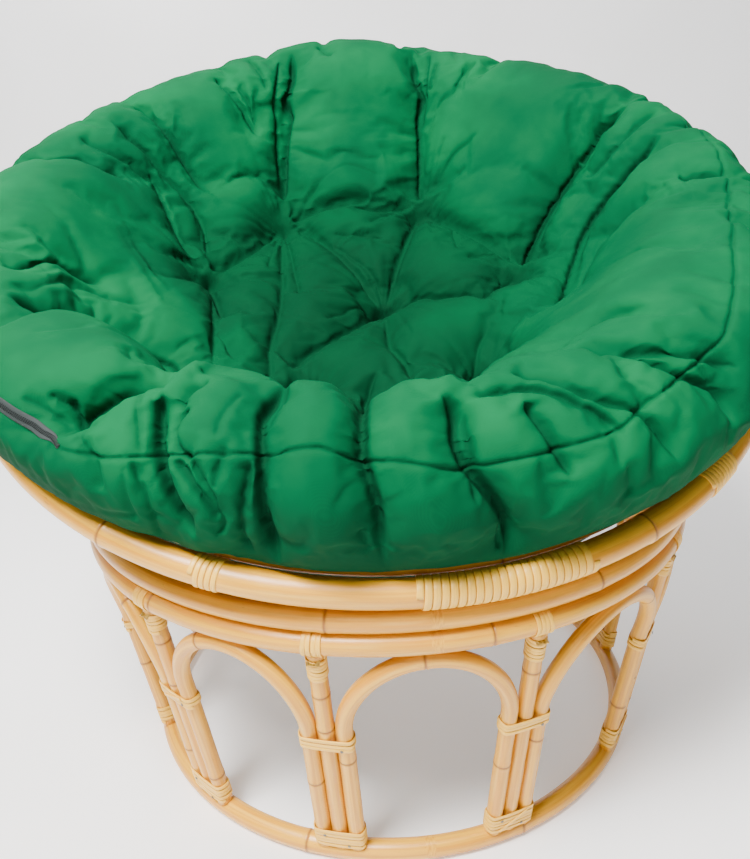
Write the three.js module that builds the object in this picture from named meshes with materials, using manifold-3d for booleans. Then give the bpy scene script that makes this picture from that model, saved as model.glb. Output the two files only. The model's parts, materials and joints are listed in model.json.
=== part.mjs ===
// Papasan chair: a round cane bowl with a tufted cushion, resting loose on a ring base.
// Millimetres, +Z up, the low front of the bowl faces -Y, azimuths run from -Y towards +X.
import * as THREE from 'three';
import { mergeVertices } from 'three/addons/utils/BufferGeometryUtils.js';
import Module from 'manifold-3d';

const wasm = await Module();
wasm.setup();

// Clearances
const GAP = 0.3;
const RUB_GAP = 0.9;
const LANDING_GAP = 0.4;

// Base rings
const BOTTOM_RING_RADIUS = 338;
const TOP_RING_RADIUS = 390;
const TOP_RING_HEIGHT = 356;
const BOTTOM_CANE = 24;
const TOP_CANE = 24;
const STRAND_THICKNESS = 1.8;

// Legs and arches
const LEG_CANE = 19;
const LEG_SPACING = 0.5;
const ARCH_RISE = 95;
const LASHING_WIDTH = 15;
const LASHING_TURN = 5.2;
const LASHING_START = 16;
const MID_BINDING_DROP = 17.8;
const FOOT_BINDING_HEIGHT = 41;
const STRAND_WIDTH = 5;
const STRAND_PITCH = 5.5;

// Bowl
const RIM_RADIUS = 515;
const BOWL_DEPTH = 366;
const RIM_CANE = 30;
const INNER_RIM_CANE = 18;
const INNER_RIM_LIFT = 6;
const RIB_CANE = 12;
const HOOP_CANE = 12;
const UPPER_HOOP_RADIUS = 400;
const LOWER_HOOP_RADIUS = 250;
const HUB_RADIUS = 96;
const SPLICE_STRAND_WIDTH = 7.1;
const SPLICE_PITCH = 7.9;

// Cushion
const CUSHION_RADIUS = 566;
const ROLL_RADIUS = 100;
const ROLL_LIFT = 72;
const SET_BACK = 33;
const BACK_RISE = 8;
const SEAT_DEPTH = 62;
const CUSHION_CLEARANCE = 1.2;
const UNDERSIDE_DEPTH = 290;
const UNDERSIDE_REACH = 300;
const TUFT_RING_RADIUS = 229;
const TUFT_PULL = 40;
const TUFT_SPREAD = 55;
const TUFT_SET_BACK = 27;
const CROWN = 16;
const CREASE_DEPTH = 14;
const FOLD_DEPTH = 26;
const SEAM_DRAW = 8;

// Zip
const TAPE_WIDTH = 14;
const TAPE_THICKNESS = 2;
const SLIDER_LENGTH = 14;
const SLIDER_WIDTH = 9;
const SLIDER_THICKNESS = 3;
const SLIDER_GAP = 0.8;
const TAB_LENGTH = 24;
const TAB_WIDTH = 6;

// Vertices nearer to each other than this are one
const WELD_DISTANCE = 0.001;

// Counts and shares
const SIDES = 8;
const THIN_SIDES = 6;
const RING_STEPS = 40;
const RIM_STEPS = 48;
const HOOP_STEPS = 32;
const HUB_STEPS = 16;
const ARCH_STEPS = 8;
const RIBS = 8;
const RIB_STEPS = 7;
const HAIRPIN_STEPS = 4;
const LASHING_TURNS = 3;
const MID_TURNS = 2;
const FOOT_TURNS = 3.5;
const SPLICE_TURNS = 22;
const SPLICE_START_DEGREES = -3;
const CUSHION_STEPS = 48;
const ROLL_STEPS = 5;
const SEAM_STEPS = 3;
const TUFT_STEPS = 3;
const WALL_STEPS = 3;
const HANGING_STEPS = 6;
const BED_MARGIN_DEGREES = 5;
const UNDERSIDE_STEPS = 4;
const ROLL_INNER_DEGREES = 150;
const SEAM_DEGREES = 24;
const TUFTS = 6;
const FOLDS = 12;
const ZIP_START_DEGREES = -45;
const ZIP_STEPS = 4;
const ZIP_END_SHARE = 0.2;
const SLIDER_DEGREES = -52.5;
// How much of the fold depth each row of the cushion's top shows, from its middle to the roll's foot.
const foldShares = [0, 0, 0.2, 0.5, 0.9, 1, 0.8, 0.55, 0.4, 0.35, 0.3, 0, 0.25, 0.2, 0];
// Azimuth of each leg as a share of a full turn: the five at the front, then the five behind.
const legTurnShares = [-0.222, -0.1375, -0.051, 0.0417, 0.1417, 0.248, 0.354, 0.46, 0.566, 0.672];

const CANE = { color: 0xe3b873, roughness: 0.42, metalness: 0 };
const PALE_CANE = { color: 0xecca90, roughness: 0.45, metalness: 0 };
const STRAND = { color: 0xf0d9a8, roughness: 0.5, metalness: 0 };
const CLOTH = { color: 0x0a8a55, roughness: 0.72, metalness: 0 };
const ZIP = { color: 0x3c4244, roughness: 0.6, metalness: 0 };
const METAL = { color: 0x8c8f92, roughness: 0.35, metalness: 1 };

// Sizes that follow from the ones above
const corner = 1 / Math.cos(Math.PI / SIDES);
const bottomR = BOTTOM_CANE / 2;
const topR = TOP_CANE / 2;
const legR = LEG_CANE / 2;
const rimR = RIM_CANE / 2;
const innerRimR = INNER_RIM_CANE / 2;
const ribR = RIB_CANE / 2;
const hoopR = HOOP_CANE / 2;
const strandGap = STRAND_THICKNESS + 2 * GAP;
const lowerRingHeight = TOP_RING_HEIGHT - TOP_CANE - strandGap;
const sphere = (RIM_RADIUS ** 2 + BOWL_DEPTH ** 2) / (2 * BOWL_DEPTH);
const rimDrop = sphere - BOWL_DEPTH;
const contact = sphere + ribR + RUB_GAP + topR;
const pivotHeight = TOP_RING_HEIGHT + Math.sqrt(contact ** 2 - TOP_RING_RADIUS ** 2);
const splicedRimR = (rimR + GAP) * corner + STRAND_THICKNESS;
const landing = splicedRimR + topR + LANDING_GAP;
const landingAngle = 2 * Math.asin(Math.sqrt((landing ** 2 - (contact - sphere) ** 2) / (4 * sphere * contact)));
const restTilt = Math.asin(RIM_RADIUS / sphere) - Math.asin(TOP_RING_RADIUS / contact) - landingAngle;
const innerRimRadius = RIM_RADIUS - rimR - strandGap - innerRimR;

const radians = THREE.MathUtils.degToRad;
const up = new THREE.Vector3(0, 0, 1);
const outward = (azimuth) => new THREE.Vector3(Math.sin(azimuth), -Math.cos(azimuth), 0);
const sideways = (azimuth) => new THREE.Vector3(Math.cos(azimuth), Math.sin(azimuth), 0);
const at = (azimuth, radius, height) => outward(azimuth).multiplyScalar(radius).setZ(height);

// Closed solids

function weld(geometry) {
  const bare = geometry.index ? geometry.toNonIndexed() : geometry.clone();
  bare.deleteAttribute('normal');
  bare.deleteAttribute('uv');
  const merged = mergeVertices(bare, WELD_DISTANCE);
  const index = Array.from(merged.index.array);
  const kept = [];
  for (let i = 0; i < index.length; i += 3) {
    const [a, b, c] = index.slice(i, i + 3);
    if (a !== b && b !== c && c !== a) kept.push(a, b, c);
  }
  merged.setIndex(kept);
  if (volume(merged) < 0) merged.setIndex(kept.reverse());
  return merged;
}

function volume(geometry) {
  const point = (i) => new THREE.Vector3().fromBufferAttribute(geometry.attributes.position, i);
  const index = geometry.index.array;
  let sum = 0;
  for (let i = 0; i < index.length; i += 3) {
    sum += point(index[i]).dot(point(index[i + 1]).cross(point(index[i + 2])));
  }
  return sum;
}

function toSolid(geometry) {
  const welded = weld(geometry);
  const vertProperties = new Float32Array(welded.attributes.position.array);
  const triVerts = new Uint32Array(welded.index.array);
  return new wasm.Manifold(new wasm.Mesh({ numProp: 3, vertProperties, triVerts }));
}

function toGeometry(solid) {
  const mesh = solid.getMesh();
  const geometry = new THREE.BufferGeometry();
  geometry.setAttribute('position', new THREE.BufferAttribute(mesh.vertProperties, 3));
  geometry.setIndex(new THREE.BufferAttribute(mesh.triVerts, 1));
  return geometry;
}

function named(name, geometry, finish) {
  const body = weld(geometry);
  body.computeVertexNormals();
  const mesh = new THREE.Mesh(body, new THREE.MeshStandardMaterial({ ...finish, flatShading: true }));
  mesh.name = name;
  return mesh;
}

// Sections and sweeps

function caneSection(radius, sides) {
  const outer = radius / Math.cos(Math.PI / sides);
  const corners = [];
  for (let i = 0; i < sides; i++) {
    const angle = (i + 0.5) * 2 * Math.PI / sides;
    corners.push(new THREE.Vector2(outer * Math.cos(angle), outer * Math.sin(angle)));
  }
  return corners;
}

function vertexSection(radius, sides) {
  const corners = [];
  for (let i = 0; i < sides; i++) {
    const angle = i * 2 * Math.PI / sides;
    corners.push(new THREE.Vector2(radius * Math.cos(angle), radius * Math.sin(angle)));
  }
  return corners;
}

function strandSection(thickness, width) {
  const x = thickness / 2;
  const y = width / 2;
  return [[-x, -y], [x, -y], [x, y], [-x, y]].map(([u, v]) => new THREE.Vector2(u, v));
}

// A ring revolved about Z, its section turned by lean so that a chosen corner faces the centre.
function ring(radius, height, section, steps, lean = 0) {
  const centre = new THREE.Vector2(0, 0);
  const profile = section.map((p) => p.clone().rotateAround(centre, lean));
  profile.forEach((p) => p.add(new THREE.Vector2(radius, height)));
  profile.push(profile[0].clone());
  return new THREE.LatheGeometry(profile, steps).rotateX(Math.PI / 2);
}

// A path given by stations, each with its own point, tangent and outward side.
class StationPath extends THREE.Curve {
  constructor(stations) {
    super();
    this.stations = stations;
  }

  getPoint(t) {
    return this.stations[Math.round(t * (this.stations.length - 1))].point.clone();
  }

  getSpacedPoints() {
    return this.stations.map((station) => station.point.clone());
  }

  computeFrenetFrames() {
    const tangents = this.stations.map((station) => station.tangent.clone().normalize());
    const normals = this.stations.map((station, i) => {
      const along = station.side.dot(tangents[i]);
      return station.side.clone().addScaledVector(tangents[i], -along).normalize();
    });
    const binormals = normals.map((normal, i) => tangents[i].clone().cross(normal));
    return { tangents, normals, binormals };
  }
}

function sweep(section, stations) {
  const path = new StationPath(stations);
  const options = { steps: stations.length - 1, extrudePath: path, bevelEnabled: false };
  return new THREE.ExtrudeGeometry(new THREE.Shape(section), options);
}

function centredTangents(stations) {
  stations.forEach((station, i) => {
    if (station.tangent) return;
    const before = stations[Math.max(i - 1, 0)].point;
    const after = stations[Math.min(i + 1, stations.length - 1)].point;
    station.tangent = after.clone().sub(before);
  });
  return stations;
}

// Base rings, also a little thicker as cutters that leave the clearance on the pieces they cut

const baseRings = {
  ring_bottom: [BOTTOM_RING_RADIUS, bottomR, bottomR],
  ring_top_lower: [TOP_RING_RADIUS, lowerRingHeight, topR],
  ring_top_upper: [TOP_RING_RADIUS, TOP_RING_HEIGHT, topR],
};

function baseRing(name, extra) {
  const [radius, height, thickness] = baseRings[name];
  return ring(radius, height, caneSection(thickness + extra, SIDES), RING_STEPS);
}

const bottomCutter = toSolid(baseRing('ring_bottom', GAP));
const lowerCutter = toSolid(baseRing('ring_top_lower', GAP));
const upperCutter = toSolid(baseRing('ring_top_upper', GAP));

// Each leg leans out from the bottom ring to the lower top ring

const legRun = TOP_RING_RADIUS - BOTTOM_RING_RADIUS;
const legRise = lowerRingHeight - bottomR;
const legLength = Math.hypot(legRun, legRise);

function legFrame(azimuth) {
  const out = outward(azimuth);
  const along = out.clone().multiplyScalar(legRun).addScaledVector(up, legRise).normalize();
  const face = out.clone().addScaledVector(along, -out.dot(along)).normalize();
  return { azimuth, foot: at(azimuth, BOTTOM_RING_RADIUS, bottomR), along, face, side: sideways(azimuth) };
}

function legPoint(frame, height, offset) {
  const reach = (height - bottomR) / frame.along.z;
  return frame.foot.clone().addScaledVector(frame.along, reach).addScaledVector(frame.side, offset);
}

const legSide = LEG_CANE + LEG_SPACING;
const legs = legTurnShares.map((share) => legFrame(share * 2 * Math.PI));

function post(frame) {
  const radius = legR * corner;
  const profile = [[0, 0], [radius, 0]];
  const start = legLength - LASHING_START - LASHING_TURNS * LASHING_TURN;
  for (let i = 0; i < LASHING_TURNS; i++) {
    profile.push([radius, start + i * LASHING_TURN]);
    profile.push([radius + STRAND_THICKNESS, start + (i + 0.5) * LASHING_TURN]);
  }
  profile.push([radius, start + LASHING_TURNS * LASHING_TURN], [radius, legLength], [0, legLength]);
  const points = profile.map(([r, z]) => new THREE.Vector2(r, z));
  const cane = new THREE.LatheGeometry(points, SIDES, Math.PI / SIDES).rotateX(Math.PI / 2);
  const turn = new THREE.Matrix4().makeBasis(frame.side, frame.face.clone().negate(), frame.along);
  cane.applyMatrix4(turn.setPosition(frame.foot));
  const coped = toSolid(cane).subtract(bottomCutter).subtract(lowerCutter);
  return toGeometry(coped.add(lashing(frame)));
}

// The loops of peel that tie a post's head to the lower top ring
function lashing(frame) {
  const radius = (topR + GAP + STRAND_THICKNESS) * corner;
  const band = new THREE.CylinderGeometry(radius, radius, LASHING_WIDTH, SIDES);
  band.rotateY(Math.PI / SIDES);
  const turn = new THREE.Matrix4().makeBasis(outward(frame.azimuth), frame.side, up);
  band.applyMatrix4(turn.setPosition(at(frame.azimuth, TOP_RING_RADIUS, lowerRingHeight)));
  return toSolid(band).subtract(lowerCutter).subtract(upperCutter);
}

// An arch stands beside two neighbouring posts and touches the lower top ring at its crown

const crownHeight = lowerRingHeight - topR - GAP - legR;
const springHeight = crownHeight - ARCH_RISE;
const midBindingHeight = springHeight - MID_BINDING_DROP;

function arch(left, right) {
  const start = legPoint(left, springHeight, legSide);
  const end = legPoint(right, springHeight, -legSide);
  const middle = start.clone().lerp(end, 0.5);
  const half = start.clone().sub(end).multiplyScalar(0.5);
  const share = (crownHeight - bottomR) / legRise;
  const crown = at((left.azimuth + right.azimuth) / 2, BOTTOM_RING_RADIUS + legRun * share, crownHeight);
  const rise = crown.sub(middle);
  const stations = [{ point: legPoint(left, bottomR, legSide), side: left.face, tangent: left.along }];
  for (let i = 0; i <= ARCH_STEPS; i++) {
    const angle = Math.PI * i / ARCH_STEPS;
    const point = middle.clone().addScaledVector(half, Math.cos(angle)).addScaledVector(rise, Math.sin(angle));
    const side = left.face.clone().lerp(right.face, (1 - Math.cos(angle)) / 2);
    stations.push({ point, side });
  }
  const down = right.along.clone().negate();
  stations.push({ point: legPoint(right, bottomR, -legSide), side: right.face, tangent: down });
  const cane = sweep(caneSection(legR, SIDES), centredTangents(stations));
  return toGeometry(toSolid(cane).subtract(bottomCutter).subtract(lowerCutter));
}

// A binding winds one unbroken strand round the post and the arch leg on each side of it

function windingStations(frame, height, turns) {
  const radius = (legR + GAP) * corner + STRAND_THICKNESS / 2;
  const centre = legPoint(frame, height, 0);
  const count = Math.round(turns * SIDES);
  const stations = [];
  for (let i = 0; i <= count; i++) {
    const angle = (i + 0.5) * 2 * Math.PI / SIDES;
    const offset = Math.cos(angle) > 0 ? legSide : -legSide;
    const side = frame.side.clone().multiplyScalar(Math.cos(angle)).addScaledVector(frame.face, Math.sin(angle));
    const climb = (i / SIDES - turns / 2) * STRAND_PITCH;
    const point = centre.clone().addScaledVector(frame.side, offset);
    point.addScaledVector(side, radius).addScaledVector(frame.along, climb);
    const tangent = side.clone().cross(frame.along).negate();
    stations.push({ point, side, tangent });
  }
  return stations;
}

function binding(frame, height, turns) {
  const stations = windingStations(frame, height, turns);
  return sweep(strandSection(STRAND_THICKNESS, STRAND_WIDTH), stations);
}

// Bowl pieces, about the centre of the sphere that the ribs lie on

const rimHeight = -rimDrop;
const rimSection = caneSection(rimR, SIDES);
const rimCutter = toSolid(ring(RIM_RADIUS, rimHeight, caneSection(rimR + GAP, SIDES), RIM_STEPS));

// A hoop lies on the inner side of the ribs, one corner of its section against them
function hoop(radius, steps) {
  const reach = sphere - ribR - GAP - hoopR;
  const height = -Math.sqrt(reach ** 2 - radius ** 2);
  const lean = Math.atan2(height, radius);
  return ring(radius, height, vertexSection(hoopR, THIN_SIDES), steps, lean);
}

// A rib runs down the bowl, turns back in a hairpin beside the hub and runs up again
function rib(azimuth) {
  const half = Math.PI / RIBS / 2;
  const foot = Math.asin(HUB_RADIUS / sphere);
  const top = Math.asin(RIM_RADIUS / sphere);
  const onBowl = (turn, polar) => at(turn, sphere * Math.sin(polar), -sphere * Math.cos(polar));
  const points = [];
  for (let i = 0; i <= RIB_STEPS; i++) {
    points.push(onBowl(azimuth - half, THREE.MathUtils.lerp(top, foot, i / RIB_STEPS)));
  }
  const bend = onBowl(azimuth - half, foot).distanceTo(onBowl(azimuth + half, foot)) / 2;
  const middle = points[RIB_STEPS].clone().lerp(onBowl(azimuth + half, foot), 0.5);
  for (let i = 1; i < HAIRPIN_STEPS; i++) {
    const angle = Math.PI * i / HAIRPIN_STEPS;
    const point = middle.clone().addScaledVector(sideways(azimuth), -bend * Math.cos(angle));
    point.addScaledVector(outward(azimuth), -bend * Math.sin(angle));
    points.push(point.setLength(sphere));
  }
  for (let i = 0; i <= RIB_STEPS; i++) {
    points.push(onBowl(azimuth + half, THREE.MathUtils.lerp(foot, top, i / RIB_STEPS)));
  }
  const stations = centredTangents(points.map((point) => ({ point, side: point.clone() })));
  const cane = sweep(vertexSection(ribR, THIN_SIDES), stations);
  return toGeometry(toSolid(cane).subtract(rimCutter));
}

// The long splice of the rim, wound side by side round the faceted cane
function spliceStations() {
  const radius = (rimR + GAP) * corner + STRAND_THICKNESS / 2;
  const facet = 2 * Math.PI / RIM_STEPS;
  const stations = [];
  for (let i = 0; i <= SPLICE_TURNS * SIDES; i++) {
    const angle = (i + 0.5) * 2 * Math.PI / SIDES;
    const azimuth = radians(SPLICE_START_DEGREES) + i / SIDES * SPLICE_PITCH / RIM_RADIUS;
    const within = azimuth - Math.floor(azimuth / facet) * facet - facet / 2;
    const centre = at(azimuth, RIM_RADIUS * Math.cos(facet / 2) / Math.cos(within), rimHeight);
    const side = outward(azimuth).multiplyScalar(Math.cos(angle)).addScaledVector(up, Math.sin(angle));
    const point = centre.addScaledVector(side, radius);
    const tangent = side.clone().cross(sideways(azimuth));
    stations.push({ point, side, tangent });
  }
  return stations;
}

const spliceMiddle = radians(SPLICE_START_DEGREES) + SPLICE_TURNS * SPLICE_PITCH / RIM_RADIUS / 2;

// Least distance between strands of neighbouring turns, less the strand's width
function leastGap(stations, perTurn, width) {
  let least = Infinity;
  for (let i = 0; i + perTurn < stations.length; i++) {
    least = Math.min(least, stations[i].point.distanceTo(stations[i + perTurn].point) - width);
  }
  return least;
}

// Cushion: a deep dish inside a fat roll. Its own axis stands behind the bowl's and leans a little,
// and only the bed that lies in the bowl is about the bowl's axis.

const rimTop = rimHeight + rimR * corner + CUSHION_CLEARANCE;
const rollCentre = new THREE.Vector2(CUSHION_RADIUS - ROLL_RADIUS, rimHeight + ROLL_LIFT);
const leanSlope = BACK_RISE / rollCentre.x;
const rollFoot = rimTop + leanSlope * CUSHION_RADIUS;
const rollStart = radians(ROLL_INNER_DEGREES);
const seamAngle = radians(SEAM_DEGREES);
const rollEnd = Math.asin((rollFoot - rollCentre.y) / ROLL_RADIUS);
const bedRadius = sphere - ribR - 2 * hoopR - 2 * GAP - CUSHION_CLEARANCE;
const seatHeight = rimHeight - SEAT_DEPTH;
const cushionPlace = new THREE.Matrix4().makeRotationX(Math.atan(leanSlope)).setPosition(0, SET_BACK, 0);

function rollPoint(angle, radius) {
  return new THREE.Vector2(Math.cos(angle), Math.sin(angle)).multiplyScalar(radius).add(rollCentre);
}

function rollPoints() {
  const points = [];
  for (let i = 1; i < ROLL_STEPS; i++) {
    points.push(rollPoint(THREE.MathUtils.lerp(rollStart, seamAngle, i / ROLL_STEPS), ROLL_RADIUS));
  }
  points.push(rollPoint(seamAngle, ROLL_RADIUS - SEAM_DRAW));
  for (let i = 1; i <= SEAM_STEPS; i++) {
    points.push(rollPoint(THREE.MathUtils.lerp(seamAngle, rollEnd, i / SEAM_STEPS), ROLL_RADIUS));
  }
  return points;
}

// The seat's rows: the first ones end on the ring of tufts, the others climb the wall to the roll
function dishPoints() {
  const crest = rollPoint(rollStart, ROLL_RADIUS);
  const points = [];
  for (let i = 0; i <= TUFT_STEPS; i++) points.push(TUFT_RING_RADIUS * i / TUFT_STEPS);
  for (let i = 1; i <= WALL_STEPS; i++) {
    points.push(THREE.MathUtils.lerp(TUFT_RING_RADIUS, crest.x, i / WALL_STEPS));
  }
  return points.map((reach) => {
    const climb = (reach / crest.x) ** 3;
    return new THREE.Vector2(reach, THREE.MathUtils.lerp(seatHeight, crest.y, climb));
  });
}

function bedProfile() {
  const innerEdge = innerRimRadius - innerRimR * corner - CUSHION_CLEARANCE;
  const points = [new THREE.Vector2(innerEdge, rimTop)];
  const bedStart = Math.asin(innerEdge / bedRadius) - radians(BED_MARGIN_DEGREES);
  const bedEnd = Math.asin(UNDERSIDE_REACH / bedRadius);
  for (let i = 0; i <= UNDERSIDE_STEPS; i++) {
    const polar = THREE.MathUtils.lerp(bedStart, bedEnd, i / UNDERSIDE_STEPS);
    points.push(new THREE.Vector2(bedRadius * Math.sin(polar), -bedRadius * Math.cos(polar)));
  }
  return points;
}

function hangingProfile(edge) {
  const lowest = rimHeight - UNDERSIDE_DEPTH;
  const under = new THREE.CubicBezierCurve(
    edge, new THREE.Vector2(edge.x * 0.7, lowest), new THREE.Vector2(edge.x * 0.4, lowest),
    new THREE.Vector2(0, lowest),
  );
  return under.getPoints(HANGING_STEPS).slice(1);
}

function tuftPlaces() {
  const centre = new THREE.Vector2(0, TUFT_SET_BACK);
  const places = [centre];
  for (let i = 0; i < TUFTS; i++) {
    const spot = outward((i + 0.5) * 2 * Math.PI / TUFTS).multiplyScalar(TUFT_RING_RADIUS);
    places.push(new THREE.Vector2(spot.x, spot.y).add(centre));
  }
  return places;
}

// How far the tufts draw the cloth in at a place: none away from them, all of it on one
function tuftShare(place) {
  const tufts = tuftPlaces();
  return Math.max(...tufts.map((tuft) => Math.exp(-((place.distanceTo(tuft) / TUFT_SPREAD) ** 2))));
}

// Share of a valley's depth at an azimuth, for valleys spread evenly and narrower than what they part
function valleyShare(azimuth, valleys, start) {
  return ((1 + Math.cos(valleys * (azimuth - start))) / 2) ** 2;
}

// A point of the seat, moved back with its tufts and drawn down at them and at the creases between
function tuftSeat(spot, azimuth, row) {
  const reach = Math.hypot(spot.x, spot.y);
  const inside = 1 - THREE.MathUtils.smoothstep(row, TUFT_STEPS, TUFT_STEPS + WALL_STEPS);
  spot.y += TUFT_SET_BACK * inside;
  const share = tuftShare(new THREE.Vector2(spot.x, spot.y));
  const crease = valleyShare(azimuth, TUFTS, Math.PI / TUFTS) * CREASE_DEPTH * Math.min(reach / TUFT_SPREAD, 1);
  spot.z += (CROWN - crease) * inside - (TUFT_PULL + CROWN - crease) * share * inside;
}

// A point of the wall or the roll, drawn towards the roll's middle where a fold runs over it
function foldRoll(spot, azimuth, row) {
  const depth = FOLD_DEPTH * foldShares[row] * valleyShare(azimuth, FOLDS, 0);
  const inward = rollCentre.clone().sub(new THREE.Vector2(Math.hypot(spot.x, spot.y), spot.z));
  inward.setLength(depth);
  spot.addScaledVector(outward(azimuth), inward.x);
  spot.z += inward.y;
}

function cushion() {
  const top = [...dishPoints(), ...rollPoints()];
  const bed = bedProfile();
  const hanging = top.length + bed.length;
  const profile = [...top, ...bed, ...hangingProfile(bed[bed.length - 1])];
  const geometry = new THREE.LatheGeometry(profile, CUSHION_STEPS).rotateX(Math.PI / 2);
  const spots = geometry.attributes.position;
  const unplace = cushionPlace.clone().invert();
  for (let i = 0; i < spots.count; i++) {
    const row = i % profile.length;
    const spot = new THREE.Vector3().fromBufferAttribute(spots, i);
    const azimuth = Math.atan2(spot.x, -spot.y);
    if (row >= hanging) spot.z += TUFT_PULL * tuftShare(new THREE.Vector2(spot.x, spot.y));
    if (row >= top.length) spot.applyMatrix4(unplace);
    else {
      if (foldShares[row] > 0) foldRoll(spot, azimuth, row);
      if (row < TUFT_STEPS + WALL_STEPS) tuftSeat(spot, azimuth, row);
    }
    spots.setXYZ(i, spot.x, spot.y, spot.z);
  }
  return geometry;
}

// Zip tape in the seam's groove, and the slider that runs along it

const nextRow = rollPoint((seamAngle - rollEnd) / SEAM_STEPS, ROLL_RADIUS).sub(rollCentre);
const grooveSlope = Math.max((nextRow.x - ROLL_RADIUS + SEAM_DRAW) / nextRow.y, 0);
const tapeLift = grooveSlope * TAPE_WIDTH / 2 + GAP + TAPE_THICKNESS / 2;

function seamStation(azimuth, lift) {
  const spot = rollPoint(seamAngle, ROLL_RADIUS - SEAM_DRAW + lift);
  const side = outward(azimuth).multiplyScalar(Math.cos(seamAngle)).addScaledVector(up, Math.sin(seamAngle));
  return { point: at(azimuth, spot.x, spot.y), side, tangent: sideways(azimuth) };
}

function zipTape() {
  const stations = [];
  for (let i = 0; i <= ZIP_STEPS; i++) {
    const azimuth = radians(ZIP_START_DEGREES) - i * 2 * Math.PI / CUSHION_STEPS;
    stations.push(seamStation(azimuth, tapeLift));
  }
  stations[0].point.lerp(stations[1].point, 1 - ZIP_END_SHARE);
  return sweep(strandSection(TAPE_THICKNESS, TAPE_WIDTH), stations);
}

function zipSlider() {
  const x = SLIDER_LENGTH / 2;
  const y = SLIDER_WIDTH / 2;
  const tab = TAB_WIDTH / 2;
  const outline = new THREE.Shape();
  outline.moveTo(-x, y).lineTo(-x, -y).lineTo(-tab, -y).lineTo(-tab, tab - TAB_LENGTH);
  outline.absarc(0, tab - TAB_LENGTH, tab, Math.PI, 2 * Math.PI);
  outline.lineTo(tab, -y).lineTo(x, -y).lineTo(x, y);
  const hole = new THREE.Path();
  hole.absarc(0, tab - TAB_LENGTH, tab / 2, 0, 2 * Math.PI);
  outline.holes.push(hole);
  const plate = new THREE.ExtrudeGeometry(outline, {
    depth: SLIDER_THICKNESS, bevelEnabled: false, curveSegments: 6,
  });
  const seat = seamStation(radians(SLIDER_DEGREES), tapeLift + TAPE_THICKNESS / 2 + SLIDER_GAP);
  const above = seat.side.clone().cross(seat.tangent);
  const turn = new THREE.Matrix4().makeBasis(seat.tangent, above, seat.side);
  return plate.applyMatrix4(turn.setPosition(seat.point));
}

// Assembly

function makeBase() {
  const base = new THREE.Group();
  for (const name of Object.keys(baseRings)) base.add(named(name, baseRing(name, 0), CANE));
  legs.forEach((frame, i) => {
    const number = String(i + 1).padStart(2, '0');
    const next = i + 1 < legs.length ? legs[i + 1] : legFrame(legs[0].azimuth + 2 * Math.PI);
    base.add(named(`post_${number}`, post(frame), PALE_CANE));
    base.add(named(`arch_${number}`, arch(frame, next), CANE));
    base.add(named(`mid_binding_${number}`, binding(frame, midBindingHeight, MID_TURNS), STRAND));
    base.add(named(`foot_binding_${number}`, binding(frame, FOOT_BINDING_HEIGHT, FOOT_TURNS), STRAND));
  });
  return base;
}

function makeBowl() {
  const bowl = new THREE.Group();
  const splice = spliceStations();
  const strand = strandSection(STRAND_THICKNESS, SPLICE_STRAND_WIDTH);
  const innerSection = caneSection(innerRimR, THIN_SIDES);
  bowl.add(named('rim_outer', ring(RIM_RADIUS, rimHeight, rimSection, RIM_STEPS), CANE));
  bowl.add(named('rim_inner', ring(innerRimRadius, rimHeight + INNER_RIM_LIFT, innerSection, RIM_STEPS), CANE));
  bowl.add(named('rim_splice_binding', sweep(strand, splice), STRAND));
  bowl.add(named('hoop_upper', hoop(UPPER_HOOP_RADIUS, HOOP_STEPS), PALE_CANE));
  bowl.add(named('hoop_lower', hoop(LOWER_HOOP_RADIUS, HOOP_STEPS), PALE_CANE));
  bowl.add(named('hub_ring', hoop(HUB_RADIUS, HUB_STEPS), PALE_CANE));
  for (let i = 0; i < RIBS; i++) {
    bowl.add(named(`rib_${i + 1}`, rib(spliceMiddle + i * 2 * Math.PI / RIBS), PALE_CANE));
  }
  bowl.add(makeCushion());
  bowl.position.z = pivotHeight;
  bowl.rotation.x = restTilt;
  return bowl;
}

function makeCushion() {
  const group = new THREE.Group();
  group.add(named('cushion', cushion(), CLOTH));
  group.add(named('zip_tape', zipTape(), ZIP));
  group.add(named('zip_slider', zipSlider(), METAL));
  group.applyMatrix4(cushionPlace);
  return group;
}

const chair = new THREE.Group();
chair.add(makeBase(), makeBowl());
chair.updateMatrixWorld(true);
const box = new THREE.Box3().setFromObject(chair, true);
const middle = box.getCenter(new THREE.Vector3());
chair.position.set(-middle.x, -middle.y, -box.min.z);
chair.updateMatrixWorld(true);

const windings = [
  ['mid binding', windingStations(legs[0], midBindingHeight, MID_TURNS), STRAND_WIDTH],
  ['foot binding', windingStations(legs[0], FOOT_BINDING_HEIGHT, FOOT_TURNS), STRAND_WIDTH],
  ['rim splice', spliceStations(), SPLICE_STRAND_WIDTH],
];
for (const [name, stations, width] of windings) {
  console.log(`${name}: least gap between turns ${leastGap(stations, SIDES, width).toFixed(2)} mm`);
}

export default chair;
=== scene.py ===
"""Papasan chair: a cane bowl on a ring base of arched canes, with a tufted round cushion."""

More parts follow.
